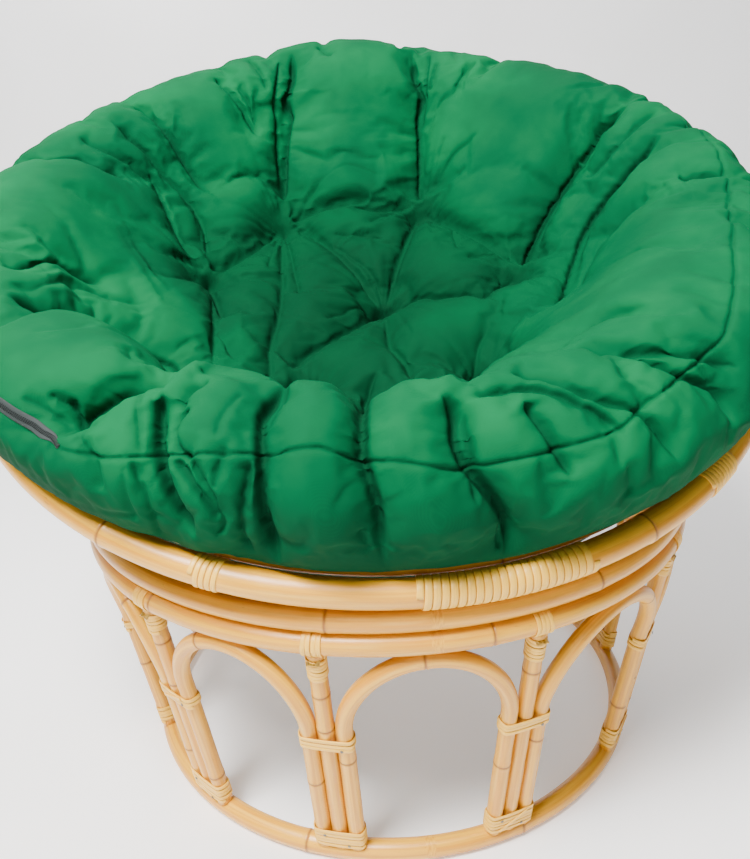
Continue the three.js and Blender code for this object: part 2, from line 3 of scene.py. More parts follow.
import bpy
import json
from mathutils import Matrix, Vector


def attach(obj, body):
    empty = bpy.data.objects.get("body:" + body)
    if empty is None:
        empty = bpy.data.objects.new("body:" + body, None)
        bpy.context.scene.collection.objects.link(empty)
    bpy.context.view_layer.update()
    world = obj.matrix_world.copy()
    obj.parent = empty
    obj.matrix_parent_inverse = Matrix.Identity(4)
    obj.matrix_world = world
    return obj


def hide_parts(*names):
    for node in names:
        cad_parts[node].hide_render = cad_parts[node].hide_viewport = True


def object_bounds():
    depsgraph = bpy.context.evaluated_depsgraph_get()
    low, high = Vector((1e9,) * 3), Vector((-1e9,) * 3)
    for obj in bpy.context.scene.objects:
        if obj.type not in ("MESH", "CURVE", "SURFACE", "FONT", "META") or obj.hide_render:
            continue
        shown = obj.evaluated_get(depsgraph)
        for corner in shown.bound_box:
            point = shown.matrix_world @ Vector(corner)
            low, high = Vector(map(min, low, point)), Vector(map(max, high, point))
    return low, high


bl_info = {
    "name": "Papasan Chair",
    "version": (1, 0, 0),
    "blender": (4, 5, 0),
    "location": "View3D > Sidebar > Chair",
    "description": "Dresses a cane papasan chair with its tufted cushion",
    "category": "Add Mesh",
}

import json
import math

import bmesh
import bpy
import numpy as np
from bpy.props import FloatProperty, FloatVectorProperty, PointerProperty
from mathutils import Matrix, Vector

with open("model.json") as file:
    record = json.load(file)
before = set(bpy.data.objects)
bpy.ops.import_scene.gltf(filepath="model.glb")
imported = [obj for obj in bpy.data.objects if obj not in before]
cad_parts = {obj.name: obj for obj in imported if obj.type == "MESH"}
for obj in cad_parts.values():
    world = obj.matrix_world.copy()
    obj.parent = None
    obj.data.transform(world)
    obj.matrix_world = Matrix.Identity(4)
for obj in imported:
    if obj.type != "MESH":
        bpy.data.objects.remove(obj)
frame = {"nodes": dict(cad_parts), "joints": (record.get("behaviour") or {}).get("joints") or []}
CAD_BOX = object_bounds()
JOINTS = {joint["name"]: joint for joint in frame["joints"]}
PIVOT = np.array(JOINTS["bowl_tilt"]["pos_m"])
BOWL_AXIS = np.array(JOINTS["cushion_lift"]["axis"])
CUSHION_CENTRE = np.array(JOINTS["zip_slide"]["pos_m"])
CUSHION_AXIS = np.array(JOINTS["zip_slide"]["axis"])
AXIS_Y = PIVOT[1]
MM = 0.001

# Azimuth of each leg as a share of a full turn from the chair's front
LEG_TURN_SHARES = (-0.222, -0.1375, -0.051, 0.0417, 0.1417, 0.248, 0.354, 0.46, 0.566, 0.672)


def length(name, default, text):
    return FloatProperty(name=name, description=text, default=default, unit="LENGTH")


def colour(name, default, text):
    return FloatVectorProperty(
        name=name, description=text, default=default, size=3, subtype="COLOR", min=0, max=1
    )


class CaneSizes(bpy.types.PropertyGroup):
    """Sizes of the canes and of the rings that they form"""

    bottom_radius: length("Bottom ring", 0.338, "Radius of the ring on the floor")
    top_radius: length("Top rings", 0.390, "Radius of the two rings under the bowl")
    ring_cane: length("Ring cane", 0.0121, "Radius of the base rings' cane")
    upper_height: length("Upper ring height", 0.356, "Height of the upper top ring's centre")
    lower_height: length("Lower ring height", 0.3296, "Height of the lower top ring's centre")
    leg_cane: length("Leg cane", 0.0095, "Radius of the posts and arches")
    leg_side: length("Leg spacing", 0.0195, "Distance between neighbouring canes of a leg")
    arch_rise: length("Arch rise", 0.095, "Height of an arch above its springing")
    rim_radius: length("Rim", 0.515, "Radius of the bowl's rim")
    rim_cane: length("Rim cane", 0.0151, "Radius of the rim's cane")
    inner_rim_radius: length("Inner rim", 0.4886, "Radius of the thinner rim inside the rim")
    inner_rim_cane: length("Inner rim cane", 0.0090, "Radius of the inner rim's cane")
    bowl_depth: length("Bowl depth", 0.366, "Depth of the bowl under its rim")
    rib_cane: length("Rib cane", 0.0060, "Radius of the bowl's ribs and hoops")


class CushionSizes(bpy.types.PropertyGroup):
    """Sizes of the cushion and its tufts"""

    radius: length("Radius", 0.566, "Radius of the cushion's outer edge")
    seat_depth: length("Seat depth", 0.050, "Depth of the seat's middle under the rim")
    voxel: length("Cloth grain", 0.0065, "Size of the squares that the cloth is simulated with")
    swell: length("Swell", 0.024, "Most that the filling pushes the cloth out")


class ChairColours(bpy.types.PropertyGroup):
    """Colours of the cane, the bindings and the cloth"""

    cane: colour("Cane", (0.670, 0.280, 0.004), "Lacquered rattan")
    cane_light: colour("Light cane", (0.850, 0.430, 0.020), "Paler streaks of the rattan")
    cane_dark: colour("Dark cane", (0.230, 0.070, 0.008), "Knots and stained streaks")
    strand: colour("Strand", (0.850, 0.475, 0.040), "Flat peel of the bindings")
    cloth: colour("Cloth", (0.000, 0.108, 0.034), "Cotton of the cushion")
    # Darker cotton: random worn patches, and the base of the painted shade in creases and hollows
    cloth_worn_and_shade: colour("Cloth shade", (0.000, 0.062, 0.021), "Cotton where it is worn and creased")


def sizes():
    return bpy.context.scene.chair_canes


def tints():
    return bpy.context.scene.chair_colours


# ---- placing


def out_of(azimuth):
    return np.array([math.sin(azimuth), -math.cos(azimuth), 0.0])


def along(azimuth):
    return np.array([math.cos(azimuth), math.sin(azimuth), 0.0])


def placement(axis, centre):
    """Rotation and centre of a frame whose z is the axis and whose x is the chair's x"""
    x = np.array([1.0, 0.0, 0.0])
    return np.column_stack([x, np.cross(axis, x), axis]), centre


def place(points, frame_of):
    rotation, centre = frame_of
    return np.asarray(points) @ rotation.T + centre


BASE_FRAME = (np.eye(3), np.array([0.0, AXIS_Y, 0.0]))
BOWL_FRAME = placement(BOWL_AXIS, PIVOT)
CUSHION_FRAME = placement(CUSHION_AXIS, CUSHION_CENTRE)
FRAMES = {"base": BASE_FRAME, "bowl": BOWL_FRAME}


# ---- meshes


def shade_smooth(mesh):
    mesh.polygons.foreach_set("use_smooth", [True] * len(mesh.polygons))


def new_object(name, vertices, faces, material):
    mesh = bpy.data.meshes.new(name)
    mesh.from_pydata([tuple(v) for v in vertices], [], [tuple(f) for f in faces])
    mesh.validate()
    mesh.update()
    shade_smooth(mesh)
    mesh.materials.append(material)
    made = bpy.data.objects.new(name, mesh)
    bpy.context.scene.collection.objects.link(made)
    return made


def circle_section(radius, count):
    angle = np.arange(count) * 2 * math.pi / count
    return np.column_stack([np.cos(angle), np.sin(angle)]) * radius


PEEL_EASE = 0.42


def peel_section(thickness, width):
    """Flat strand with eased edges: x is outward, y is across the strand"""
    x = thickness / 2
    y = width / 2
    ease = thickness * PEEL_EASE
    return np.array(
        [
            (x, -y + 2 * ease),
            (x, y - 2 * ease),
            (x - ease * 0.6, y - ease * 0.5),
            (-x * 0.2, y),
            (-x, y - ease),
            (-x, -y + ease),
            (-x * 0.2, -y),
            (x - ease * 0.6, -y + ease * 0.5),
        ]
    )


def arc_lengths(points):
    steps = np.linalg.norm(np.diff(points, axis=0), axis=1)
    return np.concatenate([[0.0], np.cumsum(steps)])


def along_path(at, travel, path):
    """The path's values at the given lengths along it"""
    return np.column_stack([np.interp(at, travel, column) for column in path.T])


def sweep(points, sides, section, closed, scales, knots, offset=0.0):
    """Vertices, faces and per-vertex grain values of a section carried along a path"""
    points = np.asarray(points, float)
    if closed:
        tangents = np.roll(points, -1, axis=0) - np.roll(points, 1, axis=0)
    else:
        tangents = np.gradient(points, axis=0)
    tangents /= np.linalg.norm(tangents, axis=1)[:, None]
    sides = sides - (sides * tangents).sum(1)[:, None] * tangents
    sides /= np.linalg.norm(sides, axis=1)[:, None]
    across = np.cross(tangents, sides)
    count, ring = len(points), len(section)
    spread = section[None, :, :] * scales[:, None, None]
    shift = spread[:, :, :1] * sides[:, None, :] + spread[:, :, 1:] * across[:, None, :]
    vertices = (points[:, None, :] + shift).reshape(-1, 3)
    rows = np.arange(count if closed else count - 1)
    faces = []
    for row in rows:
        low = row * ring
        high = (row + 1) % count * ring
        for k in range(ring):
            after = (k + 1) % ring
            faces.append((low + k, low + after, high + after, high + k))
    if not closed:
        faces.append(tuple(range(ring - 1, -1, -1)))
        faces.append(tuple(range((count - 1) * ring, count * ring)))
    travel = arc_lengths(points) + offset
    angle = np.arctan2(section[:, 1], section[:, 0])
    grain = np.column_stack(
        [
            np.repeat(travel, ring),
            np.tile(np.cos(angle), count),
            np.tile(np.sin(angle), count),
        ]
    )
    return vertices, faces, grain, np.repeat(knots, ring)


def add_grain(made, grain, knots):
    """Stores where each vertex lies along and round its cane, and how near it is to a knot"""
    mesh = made.data
    field = mesh.attributes.new("cane_grain", "FLOAT_VECTOR", "POINT")
    field.data.foreach_set("vector", np.asarray(grain, np.float32).ravel())
    knot = mesh.attributes.new("cane_knot", "FLOAT", "POINT")
    knot.data.foreach_set("value", np.asarray(knots, np.float32))


def join_parts(name, parts, material):
    """One mesh from several swept parts"""
    vertices, faces, grains, knots, start = [], [], [], [], 0
    for part_vertices, part_faces, grain, knot in parts:
        vertices.append(part_vertices)
        faces += [tuple(i + start for i in face) for face in part_faces]
        grains.append(grain)
        knots.append(knot)
        start += len(part_vertices)
    made = new_object(name, np.vstack(vertices), faces, material)
    add_grain(made, np.vstack(grains), np.concatenate(knots))
    return made


def seeded(name):
    return np.random.default_rng(sum(ord(letter) * (i + 7) for i, letter in enumerate(name)))


# Unevenness of a cane, and the lip and the groove at its knots, as shares of its radius
CANE_WAVE, KNOT_LIP, KNOT_GROOVE = 0.008, 0.060, 0.075
# Places of the closer sections beside a knot, and the least gap between sections
KNOT_SHIFTS = (-6, -3.5, -2, -1, -0.3, 0.4, 1.2, 2.4, 4, 6.5)
LEAST_STEP = 0.25 * MM


def bell(gap, width):
    return np.exp(-((gap / width) ** 2))


def cane_stations(path, knots, closed, step):
    """Resamples a path by length, closer together beside each knot"""
    path = np.asarray(path, float)
    if closed:
        path = np.vstack([path, path[:1]])
    travel = arc_lengths(path)
    total = travel[-1]
    count = max(int(total / step), 8)
    at = list(np.linspace(0, total, count + 1)[: -1 if closed else None])
    for knot in knots:
        at += [knot + shift * MM for shift in KNOT_SHIFTS]
    at = np.unique(np.round([value for value in at if 0 <= value <= total], 5))
    keep = np.concatenate([[True], np.diff(at) > LEAST_STEP])
    at = at[keep]
    if closed and total - at[-1] < LEAST_STEP:
        at = at[:-1]
    return at, along_path(at, travel, path), travel


def cane_part(seed, path, sides, radius, knots=(), closed=False, count=16, step=0.009):
    """A length of cane: gently uneven, with a lip and a groove at each knot"""
    rng = seeded(seed)
    at, points, travel = cane_stations(path, knots, closed, step)
    sides = np.asarray(sides, float)
    if closed:
        sides = np.vstack([sides, sides[:1]])
    side = along_path(at, travel, sides)
    total = travel[-1]
    scale = np.ones(len(at))
    for _ in range(3):
        waves = rng.integers(2, 9)
        scale += CANE_WAVE * np.sin(2 * math.pi * (waves * at / total + rng.random()))
    near = np.zeros(len(at))
    for knot in knots:
        gap = at - knot
        scale += KNOT_LIP * bell(gap, 5.0 * MM) - KNOT_GROOVE * bell(gap, 0.8 * MM)
        near = np.maximum(near, bell(gap, 1.7 * MM))
    return sweep(points, side, circle_section(radius, count), closed, scale, near, rng.random() * 9)


def finish_piece(made, body, slot, *nodes):
    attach(made, body)
    if nodes:
        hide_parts(*nodes)
    return made


# ---- materials


def node_group(name, inputs, outputs, build):
    """A shader node group with named inputs and outputs, made once"""
    found = bpy.data.node_groups.get(name)
    if found:
        return found
    group = bpy.data.node_groups.new(name, "ShaderNodeTree")
    for label, kind, value in inputs:
        socket = group.interface.new_socket(name=label, in_out="INPUT", socket_type=kind)
        if value is not None:
            socket.default_value = value
    for label, kind in outputs:
        group.interface.new_socket(name=label, in_out="OUTPUT", socket_type=kind)
    build(group, group.nodes.new("NodeGroupInput"), group.nodes.new("NodeGroupOutput"))
    return group


class Wiring:
    """Short ways to add and link the nodes of one tree"""

    def __init__(self, tree):
        self.tree = tree

    def add(self, kind, values=None, **settings):
        node = self.tree.nodes.new(kind)
        for name, value in settings.items():
            setattr(node, name, value)
        for name, value in (values or {}).items():
            self.feed(node, name, value)
        return node

    def feed(self, node, name, value):
        if isinstance(value, bpy.types.NodeSocket):
            self.tree.links.new(value, node.inputs[name])
        else:
            node.inputs[name].default_value = value

    def maths(self, operation, first, second=0.0, clamp=False):
        values = {0: first, 1: second}
        node = self.add("ShaderNodeMath", values, operation=operation, use_clamp=clamp)
        return node.outputs[0]

    def noise(self, vector, scale, detail=3.0, roughness=0.5, distortion=0.0):
        values = {"Vector": vector, "Scale": scale, "Detail": detail, "Roughness": roughness}
        node = self.add("ShaderNodeTexNoise", {**values, "Distortion": distortion})
        return node.outputs["Fac"]

    def scaled(self, vector, factors):
        node = self.add("ShaderNodeVectorMath", {0: vector, 1: factors}, operation="MULTIPLY")
        return node.outputs[0]

    def ramp(self, value, low, high):
        node = self.add("ShaderNodeMapRange", {"Value": value, "From Min": low, "From Max": high})
        node.interpolation_type = "SMOOTHSTEP"
        return node.outputs["Result"]

    def blend(self, factor, first, second):
        node = self.add("ShaderNodeMix", data_type="RGBA")
        for socket, value in ((0, factor), (6, first), (7, second)):
            self.feed(node, socket, value)
        return node.outputs[2]

    def spot(self):
        """Place of each point on the object"""
        return self.add("ShaderNodeTexCoord").outputs["Object"]

    def group(self, tree, values):
        node = self.add("ShaderNodeGroup")
        node.node_tree = tree
        for label, value in values.items():
            self.feed(node, label, value)
        return node


def rgba(value):
    return (value[0], value[1], value[2], 1.0)


GREENISH_CANE = (0.70, 0.50, 0.16, 1.0)


def cane_grain_group():
    """Fibres, streaks and brown flecks that run along a cane"""

    def build(group, source, sink):
        wire = Wiring(group)

        def times(value, factor):
            return wire.maths("MULTIPLY", value, factor)

        grain = source.outputs["Grain"]
        fibres = wire.noise(wire.scaled(grain, (14.0, 46.0, 46.0)), 1.0, 4.0, 0.6)
        streaks = wire.noise(wire.scaled(grain, (3.0, 2.2, 2.2)), 1.0, 3.0, 0.55, 0.4)
        patches = wire.noise(wire.scaled(grain, (9.0, 1.1, 1.1)), 1.0, 2.0)
        flecks = wire.noise(wire.scaled(grain, (70.0, 9.0, 9.0)), 1.0, 2.0, 0.5)
        scars = wire.noise(wire.scaled(grain, (30.0, 2.4, 2.4)), 1.0, 5.0, 0.65, 1.4)
        dark = source.outputs["Dark"]
        light = wire.ramp(streaks, 0.36, 0.66)
        base = wire.blend(light, source.outputs["Base"], source.outputs["Light"])
        base = wire.blend(times(wire.ramp(fibres, 0.45, 0.85), 0.35), base, dark)
        base = wire.blend(times(wire.ramp(patches, 0.56, 0.74), 0.28), base, GREENISH_CANE)
        speck = times(wire.ramp(flecks, 0.70, 0.80), 0.55)
        scar = times(wire.ramp(scars, 0.66, 0.76), 0.60)
        marks = times(wire.maths("MAXIMUM", speck, scar), source.outputs["Marks"])
        stain = wire.maths("MAXIMUM", marks, times(source.outputs["Knot"], 0.85))
        shade = wire.blend(stain, base, dark)
        group.links.new(shade, sink.inputs["Colour"])
        rough = wire.maths("ADD", times(fibres, 0.22), times(stain, 0.25))
        rough = wire.maths("ADD", rough, source.outputs["Gloss floor"])
        group.links.new(rough, sink.inputs["Roughness"])
        height = wire.maths("ADD", times(fibres, 0.6), times(patches, 0.3))
        height = wire.maths("SUBTRACT", height, times(stain, 0.5))
        group.links.new(height, sink.inputs["Height"])

    inputs = [
        ("Grain", "NodeSocketVector", None),
        ("Knot", "NodeSocketFloat", 0.0),
        ("Base", "NodeSocketColor", (0.7, 0.5, 0.2, 1.0)),
        ("Light", "NodeSocketColor", (0.8, 0.6, 0.3, 1.0)),
        ("Dark", "NodeSocketColor", (0.3, 0.15, 0.05, 1.0)),
        ("Marks", "NodeSocketFloat", 1.0),
        ("Gloss floor", "NodeSocketFloat", 0.2),
    ]
    outputs = [
        ("Colour", "NodeSocketColor"),
        ("Roughness", "NodeSocketFloat"),
        ("Height", "NodeSocketFloat"),
    ]
    return node_group("Cane grain", inputs, outputs, build)


def fresh_material(name):
    material = bpy.data.materials.new(name)
    material.use_nodes = True
    wire = Wiring(material.node_tree)
    return material, wire, material.node_tree.nodes["Principled BSDF"]


def bump(wire, shader, height, strength, distance):
    values = {"Strength": strength, "Distance": distance, "Height": height}
    wire.feed(shader, "Normal", wire.add("ShaderNodeBump", values).outputs["Normal"])


def cane_material(name, base, light, dark, marks, gloss):
    found = bpy.data.materials.get(name)
    if found:
        return found
    material, wire, shader = fresh_material(name)
    grain = wire.add("ShaderNodeAttribute", attribute_name="cane_grain")
    knot = wire.add("ShaderNodeAttribute", attribute_name="cane_knot")
    values = {
        "Grain": grain.outputs["Vector"],
        "Knot": knot.outputs["Fac"],
        "Base": rgba(base),
        "Light": rgba(light),
        "Dark": rgba(dark),
        "Marks": marks,
        "Gloss floor": gloss,
    }
    group = wire.group(cane_grain_group(), values)
    wire.feed(shader, "Base Color", group.outputs["Colour"])
    wire.feed(shader, "Roughness", group.outputs["Roughness"])
    shader.inputs["Coat Weight"].default_value = 0.12
    shader.inputs["Coat Roughness"].default_value = 0.22
    bump(wire, shader, group.outputs["Height"], 0.35, 0.0006)
    return material


def cane_finish():
    tone = tints()
    return cane_material("Lacquered cane", tone.cane, tone.cane_light, tone.cane_dark, 1.0, 0.22)


def strand_finish():
    tone = tints()
    pale = tuple(min(1.0, value * 1.12) for value in tone.strand)
    return cane_material("Cane peel", tone.strand, pale, tone.cane_dark, 0.85, 0.30)


def nail_finish():
    found = bpy.data.materials.get("Nail heads")
    if found:
        return found
    material, wire, shader = fresh_material("Nail heads")
    worn = wire.noise(wire.spot(), 900.0, 2.0)
    tone = wire.blend(worn, (0.09, 0.075, 0.06, 1), (0.30, 0.27, 0.23, 1))
    wire.feed(shader, "Base Color", tone)
    wire.feed(shader, "Roughness", wire.ramp(worn, -0.4, 1.6))
    shader.inputs["Metallic"].default_value = 0.9
    return material


def weave_group():
    """Fine plain weave with slightly uneven threads"""

    def build(group, source, sink):
        wire = Wiring(group)
        spot = source.outputs["Position"]
        scale = source.outputs["Threads"]
        bands = []
        values = {"Vector": spot, "Scale": scale, "Distortion": 1.2, "Detail": 1.0}
        for axis in ("X", "Y", "Z"):
            wave = wire.add("ShaderNodeTexWave", values, wave_type="BANDS", bands_direction=axis)
            bands.append(wave.outputs["Fac"])
        total = wire.maths("ADD", wire.maths("ADD", *bands[:2]), bands[2])
        weave = wire.maths("MULTIPLY", total, 0.333)
        slubs = wire.noise(spot, 160.0, 4.0, 0.7)
        height = wire.maths("ADD", wire.maths("MULTIPLY", weave, 0.5), slubs)
        group.links.new(weave, sink.inputs["Weave"])
        group.links.new(height, sink.inputs["Height"])

    inputs = [("Position", "NodeSocketVector", None), ("Threads", "NodeSocketFloat", 300.0)]
    outputs = [("Weave", "NodeSocketFloat"), ("Height", "NodeSocketFloat")]
    return node_group("Plain weave", inputs, outputs, build)


# Darkest painted shade as a share of the darker cloth, and the colour of its raised threads
PAINTED_SHADE_SHARE = 0.26
THREAD_TONE = (0.0, 0.15, 0.05, 1)


def cloth_finish():
    found = bpy.data.materials.get("Green cotton")
    if found:
        return found
    material, wire, shader = fresh_material("Green cotton")
    tone = tints()
    spot = wire.spot()
    weave = wire.group(weave_group(), {"Position": spot, "Threads": 420.0})
    # The crease attribute holds painted shade: the cloth is darkened where shade falls
    crease = wire.add("ShaderNodeAttribute", attribute_name="crease").outputs["Fac"]
    faded = wire.noise(spot, 5.0, 4.0, 0.55)
    shade = wire.blend(wire.ramp(faded, 0.35, 0.7), rgba(tone.cloth_worn_and_shade), rgba(tone.cloth))
    # Painted shade: the darkest colour that creases, seam, tuft pits, dish and low roll are mixed
    # towards
    deepest_painted_shade = rgba([PAINTED_SHADE_SHARE * value for value in tone.cloth_worn_and_shade])
    shade = wire.blend(wire.maths("MULTIPLY", crease, 0.88, True), shade, deepest_painted_shade)
    threads = wire.maths("MULTIPLY", wire.ramp(weave.outputs["Weave"], 0.3, 0.8), 0.12)
    shade = wire.blend(threads, shade, THREAD_TONE)
    rough = wire.maths("ADD", wire.maths("MULTIPLY", faded, 0.12), 0.74)
    wire.feed(shader, "Base Color", shade)
    wire.feed(shader, "Roughness", rough)
    shader.inputs["Specular IOR Level"].default_value = 0.05
    bump(wire, shader, weave.outputs["Height"], 0.25, 0.0008)
    return material


def zip_finish(name, dark, light, metal):
    found = bpy.data.materials.get(name)
    if found:
        return found
    material, wire, shader = fresh_material(name)
    grain = wire.noise(wire.spot(), 700.0, 3.0)
    wire.feed(shader, "Base Color", wire.blend(grain, dark, light))
    wire.feed(shader, "Roughness", wire.ramp(grain, -1.6 + metal, 1.4))
    shader.inputs["Metallic"].default_value = metal
    bump(wire, shader, grain, 0.3, 0.0004)
    return material


# ---- the base


def ring_path(radius, height, frame_of, count=360):
    angle = np.arange(count) * 2 * math.pi / count
    sides = np.column_stack([np.sin(angle), -np.cos(angle), np.zeros(count)])
    points = sides * radius + np.array([0, 0, height])
    return place(points, frame_of), sides @ frame_of[0].T


def ring_cane(name, radius, height, cane, knots, node, body="base", slot="cane", count=20):
    path, sides = ring_path(radius, height, FRAMES[body])
    knot_lengths = [share % 1.0 * 2 * math.pi * radius for share in knots]
    part = cane_part(name, path, sides, cane, knot_lengths, True, count, 0.012)
    made = join_parts(name, [part], cane_finish())
    return finish_piece(made, body, slot, node)


class Leg:
    """One leg's lean, from the bottom ring to the lower top ring"""

    def __init__(self, azimuth):
        size = sizes()
        self.azimuth = azimuth
        self.out = out_of(azimuth)
        self.side = along(azimuth)
        self.foot = self.out * size.bottom_radius + np.array([0, AXIS_Y, size.ring_cane])
        self.head = self.out * size.top_radius + np.array([0, AXIS_Y, size.lower_height])
        span = self.head - self.foot
        self.along = span / np.linalg.norm(span)
        self.face = self.out - self.out @ self.along * self.along
        self.face /= np.linalg.norm(self.face)

    def at(self, height, offset=0.0):
        up = (height - self.foot[2]) / self.along[2]
        return self.foot + self.along * up + self.side * offset


def legs():
    return [Leg(share * 2 * math.pi) for share in LEG_TURN_SHARES]


# Height of the legs' ends above the middle of the ring on the floor
LEG_LIFT = 0.009


def post_piece(number, leg):
    size = sizes()
    rng = seeded(f"post{number}")
    high = size.lower_height - size.ring_cane * 0.6
    path = np.array([leg.at(z) for z in np.linspace(size.ring_cane + LEG_LIFT, high, 30)])
    total = arc_lengths(path)[-1]
    knots = [total * share for share in (0.18 + 0.5 * rng.random(), 0.80 + 0.1 * rng.random())]
    part = cane_part(f"post{number}", path, np.tile(leg.face, (30, 1)), size.leg_cane, knots)
    made = join_parts(f"post_cane_{number}", [part, *head_lashing(number, leg)], cane_finish())
    made.data.materials.append(strand_finish())
    first = len(part[1])
    for polygon in list(made.data.polygons)[first:]:
        polygon.material_index = 1
    return finish_piece(made, "base", "pale_cane", f"post_{number}")


def peel_part(points, sides, thickness, width, seed):
    rng = seeded(seed)
    count = len(points)
    scale = np.ones(count)
    section = peel_section(thickness, width)
    return sweep(points, sides, section, False, scale, np.zeros(count), rng.random() * 9)


def head_lashing(number, leg):
    """Loops of peel over the lower top ring and turns round the post's head"""
    size = sizes()
    rng = seeded(f"lash{number}")
    parts = []
    centre = leg.out * size.top_radius + np.array([0, AXIS_Y, size.lower_height])
    loops = 4
    angle = np.linspace(-2.2, 2.2, 28)
    radius = size.ring_cane + 0.9 * MM
    for i in range(loops):
        shift = (i - (loops - 1) / 2) * 5.1 * MM + rng.normal() * 0.3 * MM
        skew = rng.normal() * 0.7 * MM
        side = np.outer(np.cos(angle), leg.out) + np.outer(np.sin(angle), [0, 0, 1.0])
        points = centre + side * radius + np.outer(shift + skew * np.sin(angle), leg.side)
        low = centre - np.array([0, 0, size.ring_cane + 9 * MM]) + leg.side * shift * 0.6
        points = np.vstack([low + leg.out * 9.5 * MM, points, low - leg.out * 9.5 * MM])
        sides = np.vstack([leg.out, side, -leg.out])
        parts.append(peel_part(points, sides, 1.3 * MM, 5.0 * MM, f"loop{number}{i}"))
    top = size.lower_height - size.ring_cane - 3.5 * MM
    turns, pitch = 5 + int(rng.random() * 1.9), 4.6 * MM
    height = top - turns * pitch / 2
    points, sides = winding(leg, height, turns, pitch, 0.0, size.leg_cane + 0.9 * MM, rng)
    parts.append(peel_part(points, sides, 1.3 * MM, 4.5 * MM, f"head{number}"))
    return parts


def winding(leg, height, turns, pitch, reach, radius, rng):
    """Path of one strand wound round canes that stand side by side"""
    per_turn = 36
    count = int(turns * per_turn)
    angle = np.arange(count + 1) * 2 * math.pi / per_turn + 0.4
    round_x, round_y = np.cos(angle), np.sin(angle)
    offset = np.clip(round_x * 2.2, -1, 1) * reach
    stretch = np.ones(count + 1)
    if reach > 0:
        squared = 1.0 / (np.abs(round_x) ** 6 + np.abs(round_y) ** 6) ** (1 / 6)
        stretch = 1 + (squared - 1) * 0.25
    side = np.outer(round_x, leg.side) + np.outer(round_y, leg.face)
    climb = (np.arange(count + 1) / per_turn - turns / 2) * pitch
    climb = climb + 0.5 * MM * np.sin(angle * 0.37 + rng.random() * 6)
    centre = leg.at(height)
    points = centre + np.outer(offset, leg.side) + side * radius * stretch[:, None]
    points = points + np.outer(climb, leg.along)
    return points, side


def binding_piece(name, number, leg, height, turns, pitch, node):
    size = sizes()
    rng = seeded(f"{name}{number}")
    height += rng.normal() * 2.0 * MM
    points, sides = winding(leg, height, turns, pitch, size.leg_side, size.leg_cane + 1.0 * MM, rng)
    parts = [peel_part(points, sides, 1.4 * MM, pitch * 0.94, f"{name}{number}")]
    if rng.random() < 0.45:
        lifted = leg.face * (size.leg_cane + 2.3 * MM)
        slanted = np.array([
            leg.at(height + share * turns * pitch * 0.42, share * size.leg_side * 0.9) + lifted
            for share in np.linspace(-1, 1, 14)
        ])
        faces_out = np.tile(leg.face, (14, 1))
        parts.append(peel_part(slanted, faces_out, 1.2 * MM, pitch * 0.8, f"cross{name}{number}"))
    made = join_parts(f"{name}_{number}", parts, strand_finish())
    return finish_piece(made, "base", "strand", node)


def arch_path(left, right):
    size = sizes()
    crown = size.lower_height - size.ring_cane - 0.0003 - size.leg_cane
    spring = crown - size.arch_rise
    low = size.ring_cane + LEG_LIFT
    start = left.at(spring, size.leg_side)
    end = right.at(spring, -size.leg_side)
    share = (crown - size.ring_cane) / (size.lower_height - size.ring_cane)
    reach = size.bottom_radius + (size.top_radius - size.bottom_radius) * share
    middle_azimuth = (left.azimuth + right.azimuth) / 2
    middle = (start + end) / 2
    half = (start - end) / 2
    rise = out_of(middle_azimuth) * reach + np.array([0, AXIS_Y, crown]) - middle
    points, sides = [], []
    for z in np.linspace(low, spring, 22)[:-1]:
        points.append(left.at(z, size.leg_side))
        sides.append(left.face)
    for angle in np.linspace(0, math.pi, 48):
        points.append(middle + half * math.cos(angle) + rise * math.sin(angle))
        blend = (1 - math.cos(angle)) / 2
        sides.append(left.face * (1 - blend) + right.face * blend)
    for z in np.linspace(spring, low, 22)[1:]:
        points.append(right.at(z, -size.leg_side))
        sides.append(right.face)
    return np.array(points), np.array(sides)


def arch_piece(number, left, right):
    rng = seeded(f"arch{number}")
    path, sides = arch_path(left, right)
    total = arc_lengths(path)[-1]
    places = ((0.06, 0.16), (0.42, 0.2), (0.80, 0.1))
    knots = [total * (first + spread * rng.random()) for first, spread in places]
    part = cane_part(f"arch{number}", path, sides, sizes().leg_cane, knots)
    made = join_parts(f"arch_cane_{number}", [part], cane_finish())
    return finish_piece(made, "base", "cane", f"arch_{number}")


def nail_heads(name, places, body):
    """Small domed heads; each place is a point and the way that the head faces"""
    vertices, faces = [], []
    rings, around, radius = 4, 10, 1.9 * MM
    for point, facing in places:
        facing = facing / np.linalg.norm(facing)
        u = np.cross(facing, [0.3, 0.5, 0.8])
        u /= np.linalg.norm(u)
        v = np.cross(facing, u)
        start = len(vertices)
        for i in range(rings):
            polar = (i + 1) / rings * math.pi / 2
            for k in range(around):
                turn = 2 * math.pi * k / around
                flat = math.sin(polar) * radius
                vertices.append(
                    point + facing * (math.cos(polar) * radius * 0.55)
                    + u * flat * math.cos(turn) + v * flat * math.sin(turn)
                )
        top = len(vertices)
        vertices.append(point + facing * radius * 0.55)
        for k in range(around):
            after = (k + 1) % around
            faces.append((top, start + k, start + after))
            for i in range(rings - 1):
                low = start + i * around
                faces.append((low + k, low + around + k, low + around + after, low + after))
        faces.append(tuple(start + (rings - 1) * around + k for k in reversed(range(around))))
    made = new_object(name, np.array(vertices), faces, nail_finish())
    return finish_piece(made, body, "zip_metal")


